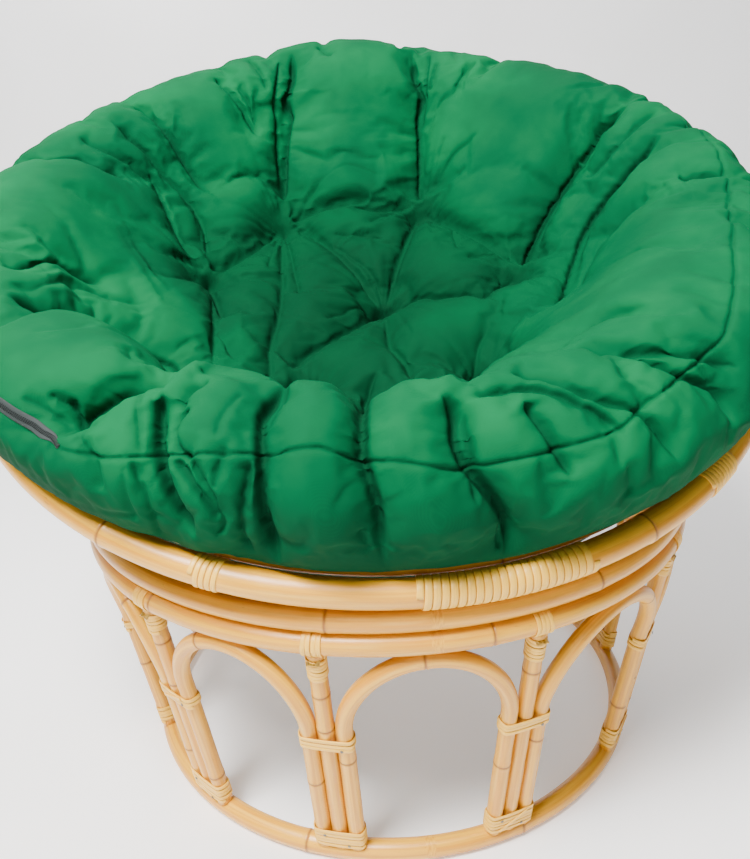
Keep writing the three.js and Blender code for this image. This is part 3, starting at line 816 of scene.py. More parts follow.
class CHAIR_OT_base_rings(bpy.types.Operator):
    """Make the ring on the floor and the two rings that carry the bowl"""

    bl_idname = "chair.base_rings"
    bl_label = "Base rings"

    def execute(self, context):
        size = sizes()
        low, high = size.bottom_radius, size.top_radius
        on_floor, under, over = size.ring_cane - 0.0001, size.lower_height, size.upper_height
        rings = (
            ("floor_ring", low, on_floor, (0.05, 0.3, 0.55, 0.93), "ring_bottom"),
            ("lower_top_ring", high, under, (0.02, 0.23, 0.61, 0.87), "ring_top_lower"),
            ("upper_top_ring", high, over, (0.07, 0.34, 0.68, 0.955), "ring_top_upper"),
        )
        for name, radius, height, knots, node in rings:
            ring_cane(name, radius, height, size.ring_cane, knots, node)
        return {"FINISHED"}


class CHAIR_OT_legs(bpy.types.Operator):
    """Make the posts with their lashed heads and the arches between them"""

    bl_idname = "chair.legs"
    bl_label = "Posts and arches"

    def execute(self, context):
        all_legs = legs()
        again = Leg(all_legs[0].azimuth + 2 * math.pi)
        for i, (leg, following) in enumerate(zip(all_legs, [*all_legs[1:], again])):
            number = f"{i + 1:02d}"
            post_piece(number, leg)
            arch_piece(number, leg, following)
        return {"FINISHED"}


class CHAIR_OT_leg_bindings(bpy.types.Operator):
    """Wind the peel that ties each post to the arches beside it, and drive its nails"""

    bl_idname = "chair.leg_bindings"
    bl_label = "Leg bindings"

    def execute(self, context):
        size = sizes()
        nails = []
        for i, leg in enumerate(legs()):
            number = f"{i + 1:02d}"
            mid, foot = f"mid_binding_{number}", f"foot_binding_{number}"
            binding_piece("middle_binding", number, leg, 0.195, 2.5, 5.4 * MM, mid)
            binding_piece("foot_binding", number, leg, 0.041, 4.5, 5.6 * MM, foot)
            for height, offset in ((0.190, 0.9), (0.046, -0.8), (0.031, 0.6)):
                lifted = leg.face * (size.leg_cane + 1.9 * MM)
                nails.append((leg.at(height, offset * size.leg_side) + lifted, leg.face))
        nail_heads("leg_nails", nails, "base")
        return {"FINISHED"}


# ---- the bowl


def sphere_radius():
    size = sizes()
    return (size.rim_radius ** 2 + size.bowl_depth ** 2) / (2 * size.bowl_depth)


def rim_height():
    return sizes().bowl_depth - sphere_radius()


def rim_winding(start, turns, pitch, cane):
    """Path of a strand wound round the rim from an azimuth on"""
    size = sizes()
    per_turn = 28
    count = int(turns * per_turn)
    steps = np.arange(count + 1) / per_turn
    angle = steps * 2 * math.pi + 0.6
    azimuth = start + steps * pitch / size.rim_radius
    outward = np.column_stack([np.sin(azimuth), -np.cos(azimuth), np.zeros(count + 1)])
    centre = outward * size.rim_radius + np.array([0, 0, rim_height()])
    side = outward * np.cos(angle)[:, None] + np.array([0, 0, 1.0]) * np.sin(angle)[:, None]
    radius = cane + 0.8 * MM
    return place(centre + side * radius, BOWL_FRAME), side @ BOWL_FRAME[0].T


def rim_wrap(name, start_degrees, turns, pitch, node=None):
    size = sizes()
    points, sides = rim_winding(math.radians(start_degrees), turns, pitch, size.rim_cane)
    part = peel_part(points, sides, 1.5 * MM, pitch * 0.93, name)
    made = join_parts(name, [part], strand_finish())
    return finish_piece(made, "bowl", "strand", *([node] if node else []))


# Height of the inner rim's middle above the rim's
INNER_RIM_LIFT = 0.006
# The splice of the rim: where it starts (degrees), its turns and their pitch
SPLICE_START, SPLICE_TURNS, SPLICE_PITCH = -2.6, 22, 7.9 * MM


class CHAIR_OT_rim(bpy.types.Operator):
    """Bend the double rim and wind its splices"""

    bl_idname = "chair.rim"
    bl_label = "Rim"

    def execute(self, context):
        size = sizes()
        height = rim_height()
        outer_knots = (0.0695, 0.19, 0.42, 0.66, 0.80, 0.895)
        inner_knots = (0.02, 0.31, 0.55, 0.77, 0.925)
        cane, thin = size.rim_cane, size.inner_rim_cane
        ring_cane(
            "rim_cane", size.rim_radius, height, cane, outer_knots, "rim_outer", "bowl", count=24
        )
        ring_cane(
            "inner_rim_cane", size.inner_rim_radius, height + INNER_RIM_LIFT, thin, inner_knots,
            "rim_inner", "bowl",
        )
        rim_wrap("rim_splice", SPLICE_START, SPLICE_TURNS, SPLICE_PITCH, "rim_splice_binding")
        wraps = (
            ("left", -26.2, 4.5), ("far_left", -62.0, 4.5),
            ("right", 35.5, 8.5), ("back", 150.0, 4.5),
        )
        for side, start, turns in wraps:
            rim_wrap(f"rim_wrap_{side}", start, turns, 6.0 * MM)
        return {"FINISHED"}


HUB_RADIUS = 0.096


class CHAIR_OT_ribs(bpy.types.Operator):
    """Bend the hairpin ribs of the bowl and the hoops that tie them"""

    bl_idname = "chair.ribs"
    bl_label = "Ribs and hoops"

    def execute(self, context):
        size = sizes()
        sphere = sphere_radius()
        for number in range(1, 9):
            self.rib(number, sphere)
        reach = sphere - 2 * size.rib_cane - 0.0003
        for name, radius, node in (
            ("upper_hoop", 0.400, "hoop_upper"),
            ("lower_hoop", 0.250, "hoop_lower"),
            ("hub_hoop", HUB_RADIUS, "hub_ring"),
        ):
            height = -math.sqrt(reach ** 2 - radius ** 2)
            knots = (0.1, 0.6)
            ring_cane(name, radius, height, size.rib_cane, knots, node, "bowl", "pale_cane", 12)
        return {"FINISHED"}

    def rib(self, number, sphere):
        size = sizes()
        splice = SPLICE_TURNS * SPLICE_PITCH / size.rim_radius
        middle = math.radians(-3) + splice / 2 + (number - 1) * math.pi / 4
        half = math.pi / 16
        foot = math.asin(HUB_RADIUS / sphere)
        top = math.asin(size.rim_radius / sphere) - (size.rim_cane + 0.0005) / sphere

        def on_bowl(azimuth, polar):
            point = out_of(azimuth) * math.sin(polar)
            point[2] = -math.cos(polar)
            return point * sphere

        points = [on_bowl(middle - half, polar) for polar in np.linspace(top, foot, 40)]
        left, right = on_bowl(middle - half, foot), on_bowl(middle + half, foot)
        bend = np.linalg.norm(left - right) / 2
        for angle in np.linspace(0, math.pi, 16)[1:-1]:
            point = (left + right) / 2 - along(middle) * bend * math.cos(angle)
            point -= out_of(middle) * bend * math.sin(angle)
            points.append(point / np.linalg.norm(point) * sphere)
        points += [on_bowl(middle + half, polar) for polar in np.linspace(foot, top, 40)]
        points = np.array(points)
        path, sides = place(points, BOWL_FRAME), points / sphere @ BOWL_FRAME[0].T
        knots = (0.21, 0.62)
        part = cane_part(f"rib{number}", path, sides, size.rib_cane, knots, count=12)
        made = join_parts(f"rib_cane_{number}", [part], cane_finish())
        return finish_piece(made, "bowl", "pale_cane", f"rib_{number}")


# ---- the cushion

# Roll by azimuth in degrees: radius and lift of its centre, half width and half height (m)
ROLL_TABLE = (
    (0, 0.468, 0.080, 0.086, 0.094),
    (22, 0.460, 0.080, 0.094, 0.092),
    (45, 0.448, 0.074, 0.104, 0.088),
    (70, 0.456, 0.072, 0.092, 0.088),
    (90, 0.458, 0.070, 0.088, 0.086),
    (112, 0.460, 0.068, 0.088, 0.084),
    (135, 0.462, 0.060, 0.088, 0.082),
    (158, 0.462, 0.052, 0.088, 0.080),
    (180, 0.464, 0.064, 0.088, 0.088),
    (195, 0.462, 0.050, 0.086, 0.080),
    (215, 0.460, 0.040, 0.084, 0.076),
    (250, 0.460, 0.040, 0.086, 0.072),
    (276, 0.470, 0.052, 0.086, 0.072),
    (300, 0.474, 0.060, 0.086, 0.076),
    (318, 0.470, 0.066, 0.088, 0.080),
    (335, 0.466, 0.074, 0.088, 0.088),
    (350, 0.468, 0.078, 0.086, 0.093),
)
# Azimuths at which the smooth roll is held, a half turn beyond each end
ROLL_DEGREES = np.arange(-180, 541, 1.0)
# Angle round the roll at which the dish joins it
ROLL_INNER = math.radians(150)


def smooth_roll():
    """The table's columns at each whole degree, eased between its rows"""
    table = np.array(ROLL_TABLE)
    around = np.concatenate([table[:, 0] - 360, table[:, 0], table[:, 0] + 360])
    kernel = np.hanning(41)
    columns = []
    for k in range(1, 5):
        fine = np.interp(ROLL_DEGREES, around, np.tile(table[:, k], 3))
        padded = np.pad(fine, len(kernel) // 2, mode="edge")
        columns.append(np.convolve(padded, kernel / kernel.sum(), mode="valid"))
    return columns


ROLL_CURVES = smooth_roll()


def roll_at(azimuth):
    """Roll centre radius, lift and half sizes at each azimuth"""
    degrees = np.degrees(azimuth) % 360
    return [np.interp(degrees, ROLL_DEGREES, curve) for curve in ROLL_CURVES]


# Tufts: place across and from front to back, and how far each is drawn down (mm)
TUFTS = (
    (30, 21, 54), (-231, 64, 30), (-111, 205, 30), (115, 215, 30), (230, 10, 30), (130, -200, 62),
    (-100, -200, 62),
)


def tuft_places():
    return [np.array(place[:2]) * MM for place in TUFTS]


def bezier(points, count):
    t = np.linspace(0, 1, count)[:, None]
    a, b, c, d = [np.array(p, float) for p in points]
    return a * (1 - t) ** 3 + 3 * b * t * (1 - t) ** 2 + 3 * c * t ** 2 * (1 - t) + d * t ** 3


def cushion_column(azimuth):
    """One slice of the cushion from the seat's middle, over the roll, to the middle below.
    Heights are above the rim. The dish and roll are about the cushion's axis, the rest about
    the bowl's."""
    size = bpy.context.scene.chair_cushion
    canes = sizes()
    centre, lift, wide, high = [float(v[0]) for v in roll_at(np.array([azimuth]))]
    crest = np.array([centre + wide * math.cos(ROLL_INNER), lift + high * math.sin(ROLL_INNER)])
    steep = np.array([-0.5 * wide, -0.866 * high])
    steep *= crest[0] / 3 / np.linalg.norm(steep)
    deep = -size.seat_depth
    top = bezier([(0, deep), (crest[0] * 0.45, deep), crest + steep, crest], 34)
    slope = 0.008 / 0.466
    foot_height = canes.rim_cane + 1.6 * MM + slope * size.radius
    end = -math.asin(min(0.9, (lift - foot_height) / high))
    angles = np.linspace(ROLL_INNER, end, 34)[1:]
    roll = np.column_stack([centre + wide * np.cos(angles), lift + high * np.sin(angles)])
    own = np.vstack([top, roll])
    bed_radius = sphere_radius() - 3 * canes.rib_cane - 2.5 * MM
    edge = canes.inner_rim_radius - canes.inner_rim_cane - 2.0 * MM
    outer = math.asin(edge / bed_radius) - math.radians(5)
    polar = np.linspace(outer, math.asin(0.3 / bed_radius), 12)
    bed = np.column_stack([bed_radius * np.sin(polar), -bed_radius * np.cos(polar)])
    bed = np.vstack([[edge, rim_height() + canes.rim_cane + 1.6 * MM], bed])
    low = rim_height() - 0.288
    last = bed[-1]
    under = bezier([last, (last[0] * 0.7, low), (last[0] * 0.4, low), (0, low)], 12)[1:]
    return own, np.vstack([bed, under])


def cushion_shell():
    """Closed surface of the smooth cushion, before it is tufted"""
    columns = 120
    rows = []
    for i in range(columns):
        azimuth = 2 * math.pi * i / columns
        own, bed = cushion_column(azimuth)
        outward = out_of(azimuth)
        upper = own[:, :1] * outward + own[:, 1:] * np.array([0, 0, 1.0])
        upper[:, 2] += rim_height()
        lower = bed[:, :1] * outward + bed[:, 1:] * np.array([0, 0, 1.0])
        rows.append(np.vstack([place(upper, CUSHION_FRAME), place(lower, BOWL_FRAME)]))
    grid = np.array(rows)
    count = grid.shape[1]
    vertices = [grid[0, 0]]
    vertices += list(grid[:, 1:-1].reshape(-1, 3))
    vertices.append(grid[0, -1])
    ring = count - 2
    faces = []
    for i in range(columns):
        here, there = 1 + i * ring, 1 + (i + 1) % columns * ring
        faces.append((0, here, there))
        faces.append((len(vertices) - 1, there + ring - 1, here + ring - 1))
        for k in range(ring - 1):
            faces.append((here + k, here + k + 1, there + k + 1, there + k))
    return np.array(vertices), faces


class ClothPlace:
    """Where each point lies on the cushion: azimuth, plan place, height and angle round the roll"""

    def __init__(self, points):
        rotation, centre = CUSHION_FRAME
        own = (points - centre) @ rotation
        self.plan = own[:, :2]
        self.radius = np.hypot(own[:, 0], own[:, 1])
        self.azimuth = np.arctan2(own[:, 0], -own[:, 1])
        self.height = own[:, 2] - rim_height()
        roll = roll_at(self.azimuth)
        self.roll_centre = roll[0]
        rise, reach = (self.height - roll[1]) / roll[3], (self.radius - roll[0]) / roll[2]
        self.angle = np.arctan2(rise, reach)
        inner = roll[0] + roll[2] * math.cos(ROLL_INNER)
        in_dish = (self.radius < inner + 0.004) & (self.height > -0.150)
        on_roll = (self.radius >= inner - 0.004) & (self.height > 0.012)
        on_roll &= self.angle > -0.75
        angle = np.where(self.angle < -2.2, self.angle + 2 * math.pi, self.angle)
        turned = np.clip(ROLL_INNER - angle, 0, 4.0) * (roll[2] + roll[3]) / 2
        self.travel = np.where(self.radius < inner, self.radius, inner + turned)
        self.travel = np.where(in_dish & (self.radius < inner), self.radius, self.travel)
        self.inner = inner
        self.on_top = in_dish | on_roll
        self.out = np.column_stack([np.sin(self.azimuth), -np.cos(self.azimuth)])
        self.flat = self.out * self.travel[:, None]
        self.narrowing = self.radius / np.maximum(self.travel, 1e-4)
        self.seam_gap = (self.angle - seam_angle(self.azimuth)) * (roll[2] + roll[3]) / 2


# Angle of the seam up the roll at some azimuths, both in degrees
SEAM_TABLE = (
    (-180, 44), (-120, 42), (-80, 40), (-47, 41), (-38, 33), (-34, 35), (-27, 48), (-19, 58),
    (-12, 63), (-7, 58), (1, 48), (8, 49), (18, 50), (23, 59), (36, 65), (43, 75), (57, 91),
    (70, 96), (90, 80), (120, 56), (180, 44),
)


def seam_angle(azimuth):
    degrees = (np.degrees(azimuth) + 180) % 360 - 180
    table = np.array(SEAM_TABLE, float)
    return np.radians(np.interp(degrees, table[:, 0], table[:, 1]))


def ease(value, low, high):
    t = np.clip((value - low) / (high - low), 0, 1)
    return t * t * (3 - 2 * t)


# Width of the finished creases, and of the wider ones that hold the cloth while it fills
CREASE = 3.2 * MM
HELD_CREASE = 9 * MM
# Widths of the valley round a fold and of the lap beside it, as high as a share of the crease
VALLEY_WIDTH, VALLEY_GAIN = 0.030, 1.3
LAP_WIDTH, LAP_SHARE = 0.013, 0.30
# Reach of a fold on each side of its route
FOLD_MARGIN = 0.075

# Folds of the cover: depth of the crease and of its valley (mm), and which side laps over
# the other, and the route, unrolled flat about the cushion's middle (mm)
FOLDS = (
    (14, 22, 1, ((-109, 250), (-101, 313), (-93, 362), (-82, 379), (-74, 428), (-75, 478))),
    (8, 3, -1, ((-110, 294), (-111, 344), (-108, 372), (-99, 468))),
    (9, 6, 1, ((-209, 413), (-181, 380), (-160, 353), (-141, 336))),
    (8, 2, 0, ((-174, 401), (-149, 360), (-143, 351))),
    (12, 12, 1, ((-343, 342), (-312, 316), (-273, 278), (-254, 260), (-238, 243), (-221, 227))),
    (10, 14, 1, ((-359, 265), (-322, 247), (-289, 231), (-258, 214), (-238, 172), (-233, 108))),
    (7, 5, 0, ((-311, 216), (-290, 173), (-269, 122), (-244, 92))),
    (5, 3, 0, ((-278, 78), (-249, 92), (-236, 86))),
    (9, 6, 1, ((-234, 77), (-226, 27), (-209, -51))),
    (6, 4, 0, ((-226, 27), (-218, -90), (-217, -353))),
    (6, 3, 0, ((-217, -87), (-200, -128), (-185, -170))),
    (6, 4, 0, ((-215, -371), (-186, -383), (-162, -411))),
    (9, 12, 1, ((-231, 88), (-196, 107), (-162, 138), (-119, 211))),
    (9, 10, 1, ((-101, 217), (-80, 201), (-42, 145), (-13, 103), (8, 58), (27, 32))),
    (6, 2, 0, ((-38, 152), (6, 102), (24, 66), (35, 35))),
    (6, 3, 0, ((-111, 215), (-105, 111), (-97, 3))),
    (6, 6, 0, ((-114, 213), (-117, 160), (-125, 15), (-133, -46), (-147, -111), (-151, -398))),
    (4, 2, 0, ((-120, 210), (-142, 82))),
    (9, 12, -1, ((27, 29), (-18, -39), (-57, -81), (-103, -118), (-126, -154))),
    (4, 2, 0, ((-67, -45), (7, 23))),
    (8, 10, 1, ((-102, 224), (-37, 236), (41, 239))),
    (8, 8, 0, ((-78, 230), (-18, 234), (44, 221), (112, 235))),
    (2, 8, 0, ((-81, 243), (-30, 277), (0, 289), (65, 267))),
    (5, 2, 0, ((-36, 167), (49, 147))),
    (4, 2, 0, ((27, 180), (81, 227))),
    (6, 4, 0, ((-151, 476), (-147, 463), (-121, 391))),
    (5, 3, 0, ((-29, 478), (-9, 443))),
    (13, 22, -1, ((120, 235), (127, 287), (132, 328), (134, 362), (131, 407), (137, 460))),
    (7, 3, 1, ((136, 344), (143, 374), (169, 461))),
    (5, 2, 0, ((149, 372), (178, 431))),
    (5, 2, 0, ((195, 356), (222, 390), (241, 405))),
    (4, 2, 0, ((233, 354), (273, 392))),
    (4, 5, 0, ((138, 246), (147, 253), (172, 269), (216, 264))),
    (3, 2, 0, ((146, 273), (168, 298))),
    (4, 2, 0, ((149, 239), (194, 237))),
    (9, 12, 1, ((125, 222), (163, 154), (201, 99), (237, 38))),
    (6, 3, 0, ((163, 66), (216, 74), (236, 31))),
    (4, 2, 0, ((159, 155), (153, 85))),
    (9, 12, -1, ((230, 21), (173, -21), (115, 0), (65, 25), (34, 29))),
    (8, 10, 1, ((116, 225), (72, 126), (52, 82), (42, 47), (34, 31))),
    (5, 2, 0, ((15, 79), (32, 33))),
    (16, 28, 1, ((239, 29), (283, 91), (313, 126), (347, 151), (378, 173), (427, 180))),
    (6, 4, 0, ((346, 112), (370, 100), (412, 112), (464, 145))),
    (12, 14, -1, ((238, -139), (297, -15), (325, 29), (355, 55), (382, 57), (441, 71))),
    (10, 8, 1, ((243, -145), (300, -63), (329, -34), (355, -34), (372, -50))),
    (11, 5, 0, ((419, -47), (442, -51), (467, -64), (483, -83))),
    (4, 9, 0, ((117, -408), (168, -321), (216, -307), (257, -343))),
    (6, 9, 1, ((24, -18), (15, -123), (33, -175), (-3, -458))),
    (7, 9, -1, ((157, -113), (135, -143), (31, -461))),
    (3, 2, 0, ((34, 27), (48, -120))),
    (16, 14, 1, (
        (-252, -416), (-255, -442), (-262, -475), (-264, -502), (-265, -530), (-266, -561),
        (-251, -580),
    )),
    (9, 4, -1, ((-223, -441), (-240, -455), (-243, -476), (-229, -498))),
    (10, 5, 1, ((-247, -493), (-233, -519), (-221, -545), (-220, -570))),
    (8, 6, 0, ((-227, -495), (-222, -522), (-215, -550), (-214, -572), (-234, -585))),
    (15, 16, 1, (
        (-135, -416), (-146, -426), (-160, -457), (-165, -490), (-166, -514), (-175, -545),
        (-180, -580), (-185, -616), (-178, -636),
    )),
    (10, 5, -1, (
        (-175, -509), (-176, -525), (-186, -545), (-193, -561), (-208, -603), (-205, -622),
    )),
    (7, 3, 0, ((-118, -165), (-134, -424), (-153, -458), (-162, -495))),
    (16, 18, -1, (
        (-7, -184), (-26, -211), (-65, -464), (-73, -526), (-70, -551), (-65, -582),
        (-66, -613), (-65, -662),
    )),
    (5, 3, 0, ((-193, -493), (-199, -507), (-214, -533))),
    (4, 3, 0, ((-272, -381), (-272, -437), (-274, -481))),
    (5, 4, 0, ((-334, -434), (-321, -469), (-327, -502))),
    (3, 6, 0, ((-290, -482), (-299, -508), (-316, -547))),
    (6, 4, 1, ((-284, -481), (-284, -518), (-296, -555), (-314, -579))),
    (5, 3, 0, ((-85, -604), (-79, -633))),
    (8, 6, -1, ((-206, -409), (-216, -410), (-223, -416), (-232, -441))),
    (3, 8, 0, ((-173, -434), (-195, -463), (-201, -487))),
    (10, 10, 0, ((-345, -391), (-342, -403), (-347, -428))),
    (14, 30, 1, (
        (-348, -435), (-342, -417), (-319, -404), (-285, -378), (-262, -363), (-229, -370),
    )),
    (15, 18, 1, (
        (7, -472), (16, -477), (13, -493), (9, -520), (17, -548), (29, -567), (47, -592),
        (65, -624), (69, -641), (72, -663),
    )),
    (8, 3, 0, ((21, -485), (18, -497), (20, -526), (23, -559), (29, -592))),
    (11, 9, 1, ((79, -489), (89, -508), (100, -530), (109, -547), (116, -562))),
    (8, 3, 0, ((58, -613), (60, -641), (63, -656))),
    (9, 7, 1, (
        (74, -447), (103, -452), (130, -474), (151, -487), (182, -494), (199, -502),
        (228, -527), (238, -543),
    )),
    (8, 6, -1, ((32, -474), (67, -465), (99, -468), (129, -487), (160, -507), (171, -521))),
    (12, 14, 1, (
        (157, -404), (190, -408), (210, -423), (256, -449), (292, -456), (313, -475),
        (320, -491),
    )),
    (9, 8, 0, ((190, -408), (233, -420), (284, -422), (319, -433))),
    (5, 3, 0, ((274, -430), (297, -458))),
    (3, 4, 0, ((174, -548), (193, -580))),
    (12, 8, 1, ((-446, -145), (-424, -131), (-411, -96), (-380, -76), (-350, -62))),
    (3, 11, 0, ((-435, -187), (-405, -186), (-368, -103), (-331, -92), (-294, -77))),
    (12, 24, -1, (
        (-429, -211), (-401, -207), (-366, -189), (-339, -166), (-313, -164), (-284, -171),
        (-263, -177), (-224, -351),
    )),
    (5, 4, 0, ((-385, -379), (-370, -394), (-356, -417), (-352, -434))),
    (5, 3, 0, ((-361, -384), (-346, -393), (-348, -416), (-348, -433))),
    (6, 4, 0, ((-460, 138), (-443, 149), (-404, 169), (-367, 157), (-333, 174))),
    (7, 6, 1, ((-408, 214), (-361, 202), (-321, 201), (-292, 208))),
    (2, 5, 0, ((-311, -6), (-270, 16), (-244, 80))),
)


def hidden_folds():
    """Folds over the back and the sides, from the crest down to the rim"""
    rng = np.random.default_rng(17)
    rows = []
    azimuth = 62.0
    while azimuth < 292:
        deep = rng.uniform(5, 13)
        start, end = rng.uniform(0.50, 0.56), rng.uniform(0.68, 0.78)
        route = []
        for share in (0, 0.35, 0.7, 1):
            turn = math.radians(azimuth + rng.uniform(-1.6, 1.6))
            reach = start + (end - start) * share
            route.append((1000 * reach * math.sin(turn), -1000 * reach * math.cos(turn)))
        rows.append((deep, deep * rng.uniform(0.3, 1.2), rng.integers(-1, 2), route))
        azimuth += rng.uniform(5.5, 12.5)
    return rows


def fold_route(points):
    """The route at close, even steps, with its corners eased"""
    flat = np.array(points, float) * MM
    travel = arc_lengths(flat)
    at = np.linspace(0, travel[-1], max(int(travel[-1] / 0.007), 4))
    fine = np.column_stack([np.interp(at, travel, flat[:, k]) for k in (0, 1)])
    for _ in range(3):
        fine[1:-1] = (fine[:-2] + 2 * fine[1:-1] + fine[2:]) / 4
    return fine


def gap_to_route(where, near, route):
    """Signed distance of the near points from a route, and how far along it they lie"""
    start, span = route[:-1], np.diff(route, axis=0)
    away = where.flat[near][:, None, :] - start[None]
    share = np.clip((away * span).sum(2) / (span * span).sum(1), 0, 1)
    away = away - share[..., None] * span[None]
    nearest = (away ** 2).sum(2).argmin(1)
    row = np.arange(len(nearest))
    away, share = away[row, nearest], share[row, nearest]
    out = where.out[near]
    radial = (away * out).sum(1)
    round_it = (away[:, 0] * -out[:, 1] + away[:, 1] * out[:, 0]) * where.narrowing[near]
    side = np.sign(span[nearest, 0] * away[:, 1] - span[nearest, 1] * away[:, 0])
    return np.hypot(radial, round_it) * side, (nearest + share) / len(span)


def fold_depths(where, width):
    """Depth of the creases at the given width, of their laps and of the valleys round them"""
    crease, lap, valley = np.zeros((3, len(where.radius)))
    for deep, low, over, points in (*FOLDS, *hidden_folds()):
        route = fold_route(points)
        inside = where.flat > route.min(0) - FOLD_MARGIN
        inside &= where.flat < route.max(0) + FOLD_MARGIN
        near = np.flatnonzero(inside.all(1) & where.on_top)
        if not len(near):
            continue
        gap, share = gap_to_route(where, near, route)
        fade = ease(share, -0.02, 0.10) * (1 - ease(share, 0.86, 1.02))
        size = np.abs(gap)
        sharp = np.exp(-np.hypot(size, 0.3 * width) / width)
        crease[near] = np.maximum(crease[near], deep * MM * fade * sharp)
        soft = np.exp(-np.hypot(size, 5 * MM) / VALLEY_WIDTH)
        valley[near] = np.maximum(valley[near], VALLEY_GAIN * low * MM * fade * soft)
        side = np.tanh(gap / (2 * MM)) * np.exp(-size / LAP_WIDTH)
        lap[near] += over * LAP_SHARE * deep * MM * fade * side
    return crease, lap * ease(tuft_gap(where), 0.015, 0.070), valley


def tuft_gap(where):
    """Distance to the nearest tuft"""
    return np.min([np.linalg.norm(where.plan - spot, axis=1) for spot in tuft_places()], axis=0)


def tuft_depth(where, spread, deep):
    places = tuft_places()
    depth = np.zeros(len(where.radius))
    for place, spot in zip(TUFTS, places):
        gap = np.linalg.norm(where.plan - spot, axis=1)
        depth = np.maximum(depth, deep * place[2] * MM * np.exp(-gap / spread))
    return depth


def tuft_rays(where, deep):
    """Small wrinkles that radiate from each tuft"""
    rng = np.random.default_rng(42)
    depth = np.zeros(len(where.radius))
    for spot in tuft_places():
        away = where.plan - spot
        gap = np.linalg.norm(away, axis=1)
        turn = np.arctan2(away[:, 0], -away[:, 1])
        wave = np.zeros(len(gap))
        for waves in (7, 9, 12, 15):
            wave += np.cos(waves * turn + rng.random() * 6.28) / 4
        ridge = 1 - np.abs(wave) * 2.2
        depth += deep * np.clip(ridge, -1, 1) * np.exp(-gap / 0.075) * ease(gap, 0.004, 0.032)
    return depth


def ripple(where, seed, low, high, deep):
    """Irregular gathers that cross the seam"""
    rng = np.random.default_rng(seed)
    wave = np.zeros(len(where.radius))
    for waves in rng.uniform(low, high, 7):
        wave += np.sin(round(waves) * where.azimuth + rng.random() * 6.28) / 7
    return deep * wave


def top_mask(where):
    roll_part = ease(where.angle, -0.78, -0.52)
    dish_part = (where.radius < where.roll_centre) & (where.height > -0.15)
    return np.where(where.on_top, np.where(dish_part, 1.0, roll_part), 0.0)


def read_points(mesh):
    flat = np.zeros(len(mesh.vertices) * 3, np.float32)
    mesh.vertices.foreach_get("co", flat)
    return flat.reshape(-1, 3).astype(float)


def write_points(mesh, points):
    mesh.vertices.foreach_set("co", np.asarray(points, np.float32).ravel())
    mesh.update()


def read_normals(mesh):
    flat = np.zeros(len(mesh.vertices) * 3, np.float32)
    mesh.vertex_normals.foreach_get("vector", flat)
    return flat.reshape(-1, 3).astype(float)


def apply_modifiers(made):
    depsgraph = bpy.context.evaluated_depsgraph_get()
    shaped = bpy.data.meshes.new_from_object(made.evaluated_get(depsgraph))
    old = made.data
    made.modifiers.clear()
    made.data = shaped
    bpy.data.meshes.remove(old)


def push(made, depth):
    """Draws the cloth in along its normals"""
    points = read_points(made.data)
    write_points(made.data, points - read_normals(made.data) * depth[:, None])


def draw_down(made, depth):
    """Draws the cloth down along the cushion's axis"""
    points = read_points(made.data)
    write_points(made.data, points - CUSHION_AXIS * depth[:, None])


# Cloth simulation: its last frame, the filling's pressure and how much the cover grows
FRAMES_RUN, PRESSURE, GROWTH = 20, 4.0, -0.07


def simulate_cloth(made, most):
    """Fills the cover: cloth under pressure, held at the tufts, at the main folds and underneath"""
    scene = bpy.context.scene
    before = read_points(made.data)
    where = ClothPlace(before)
    outside = where.radius > where.roll_centre
    hold = 1 - top_mask(where) * np.where(outside, ease(where.angle, -0.45, 0.15), 1.0)
    tufts = tuft_depth(where, 0.014, 30.0)
    folds = fold_depths(where, HELD_CREASE)[0] / (11 * MM)
    hold = np.clip(np.maximum.reduce([hold, tufts * 1.1, folds * 0.6]), 0, 1)
    group = made.vertex_groups.new(name="held")
    for i, weight in enumerate(hold):
        if weight > 0.02:
            group.add([i], float(weight), "REPLACE")
    cloth = made.modifiers.new("Cover", "CLOTH")
    settings = cloth.settings
    settings.vertex_group_mass = "held"
    settings.use_pressure = True
    settings.uniform_pressure_force = PRESSURE
    settings.shrink_min = GROWTH
    settings.tension_stiffness = 12
    settings.compression_stiffness = 8
    settings.bending_stiffness = 0.4
    settings.quality = 4
    settings.effector_weights.gravity = 0.0
    cloth.collision_settings.use_collision = False
    cloth.point_cache.frame_start = 1
    cloth.point_cache.frame_end = FRAMES_RUN
    for step in range(1, FRAMES_RUN + 1):
        scene.frame_set(step)
    depsgraph = bpy.context.evaluated_depsgraph_get()
    after = read_points(made.evaluated_get(depsgraph).data)
    made.modifiers.clear()
    scene.frame_set(1)
    move = after - before
    size = np.linalg.norm(move, axis=1)
    limit = most * np.tanh(size / most)
    write_points(made.data, before + move * (limit / np.maximum(size, 1e-9))[:, None])


def subdivide(made, levels):
    modifier = made.modifiers.new("Finer", "SUBSURF")
    modifier.levels = levels
    modifier.render_levels = levels
    apply_modifiers(made)


def remesh(made, voxel):
    modifier = made.modifiers.new("Even", "REMESH")
    modifier.mode = "VOXEL"
    modifier.voxel_size = voxel
    modifier.use_smooth_shade = True
    apply_modifiers(made)


# Depths of the seam, of the gathers that cross it, of the waves up the dish's wall and of the
# wrinkles round the tufts
SEAM_DEPTH, SEAM_WIDTH = 3.0 * MM, 2.4 * MM
GATHER_DEPTH, WANDER_DEPTH, RAY_DEPTH = 4.2 * MM, 1.4 * MM, 2.8 * MM
# Painted shade in the seam, in the dish and low on the roll, where shade falls, from 0 to 1
SEAM_PAINTED_SHADE, DISH_PAINTED_SHADE, LOW_PAINTED_SHADE = 0.30, 0.86, 0.70


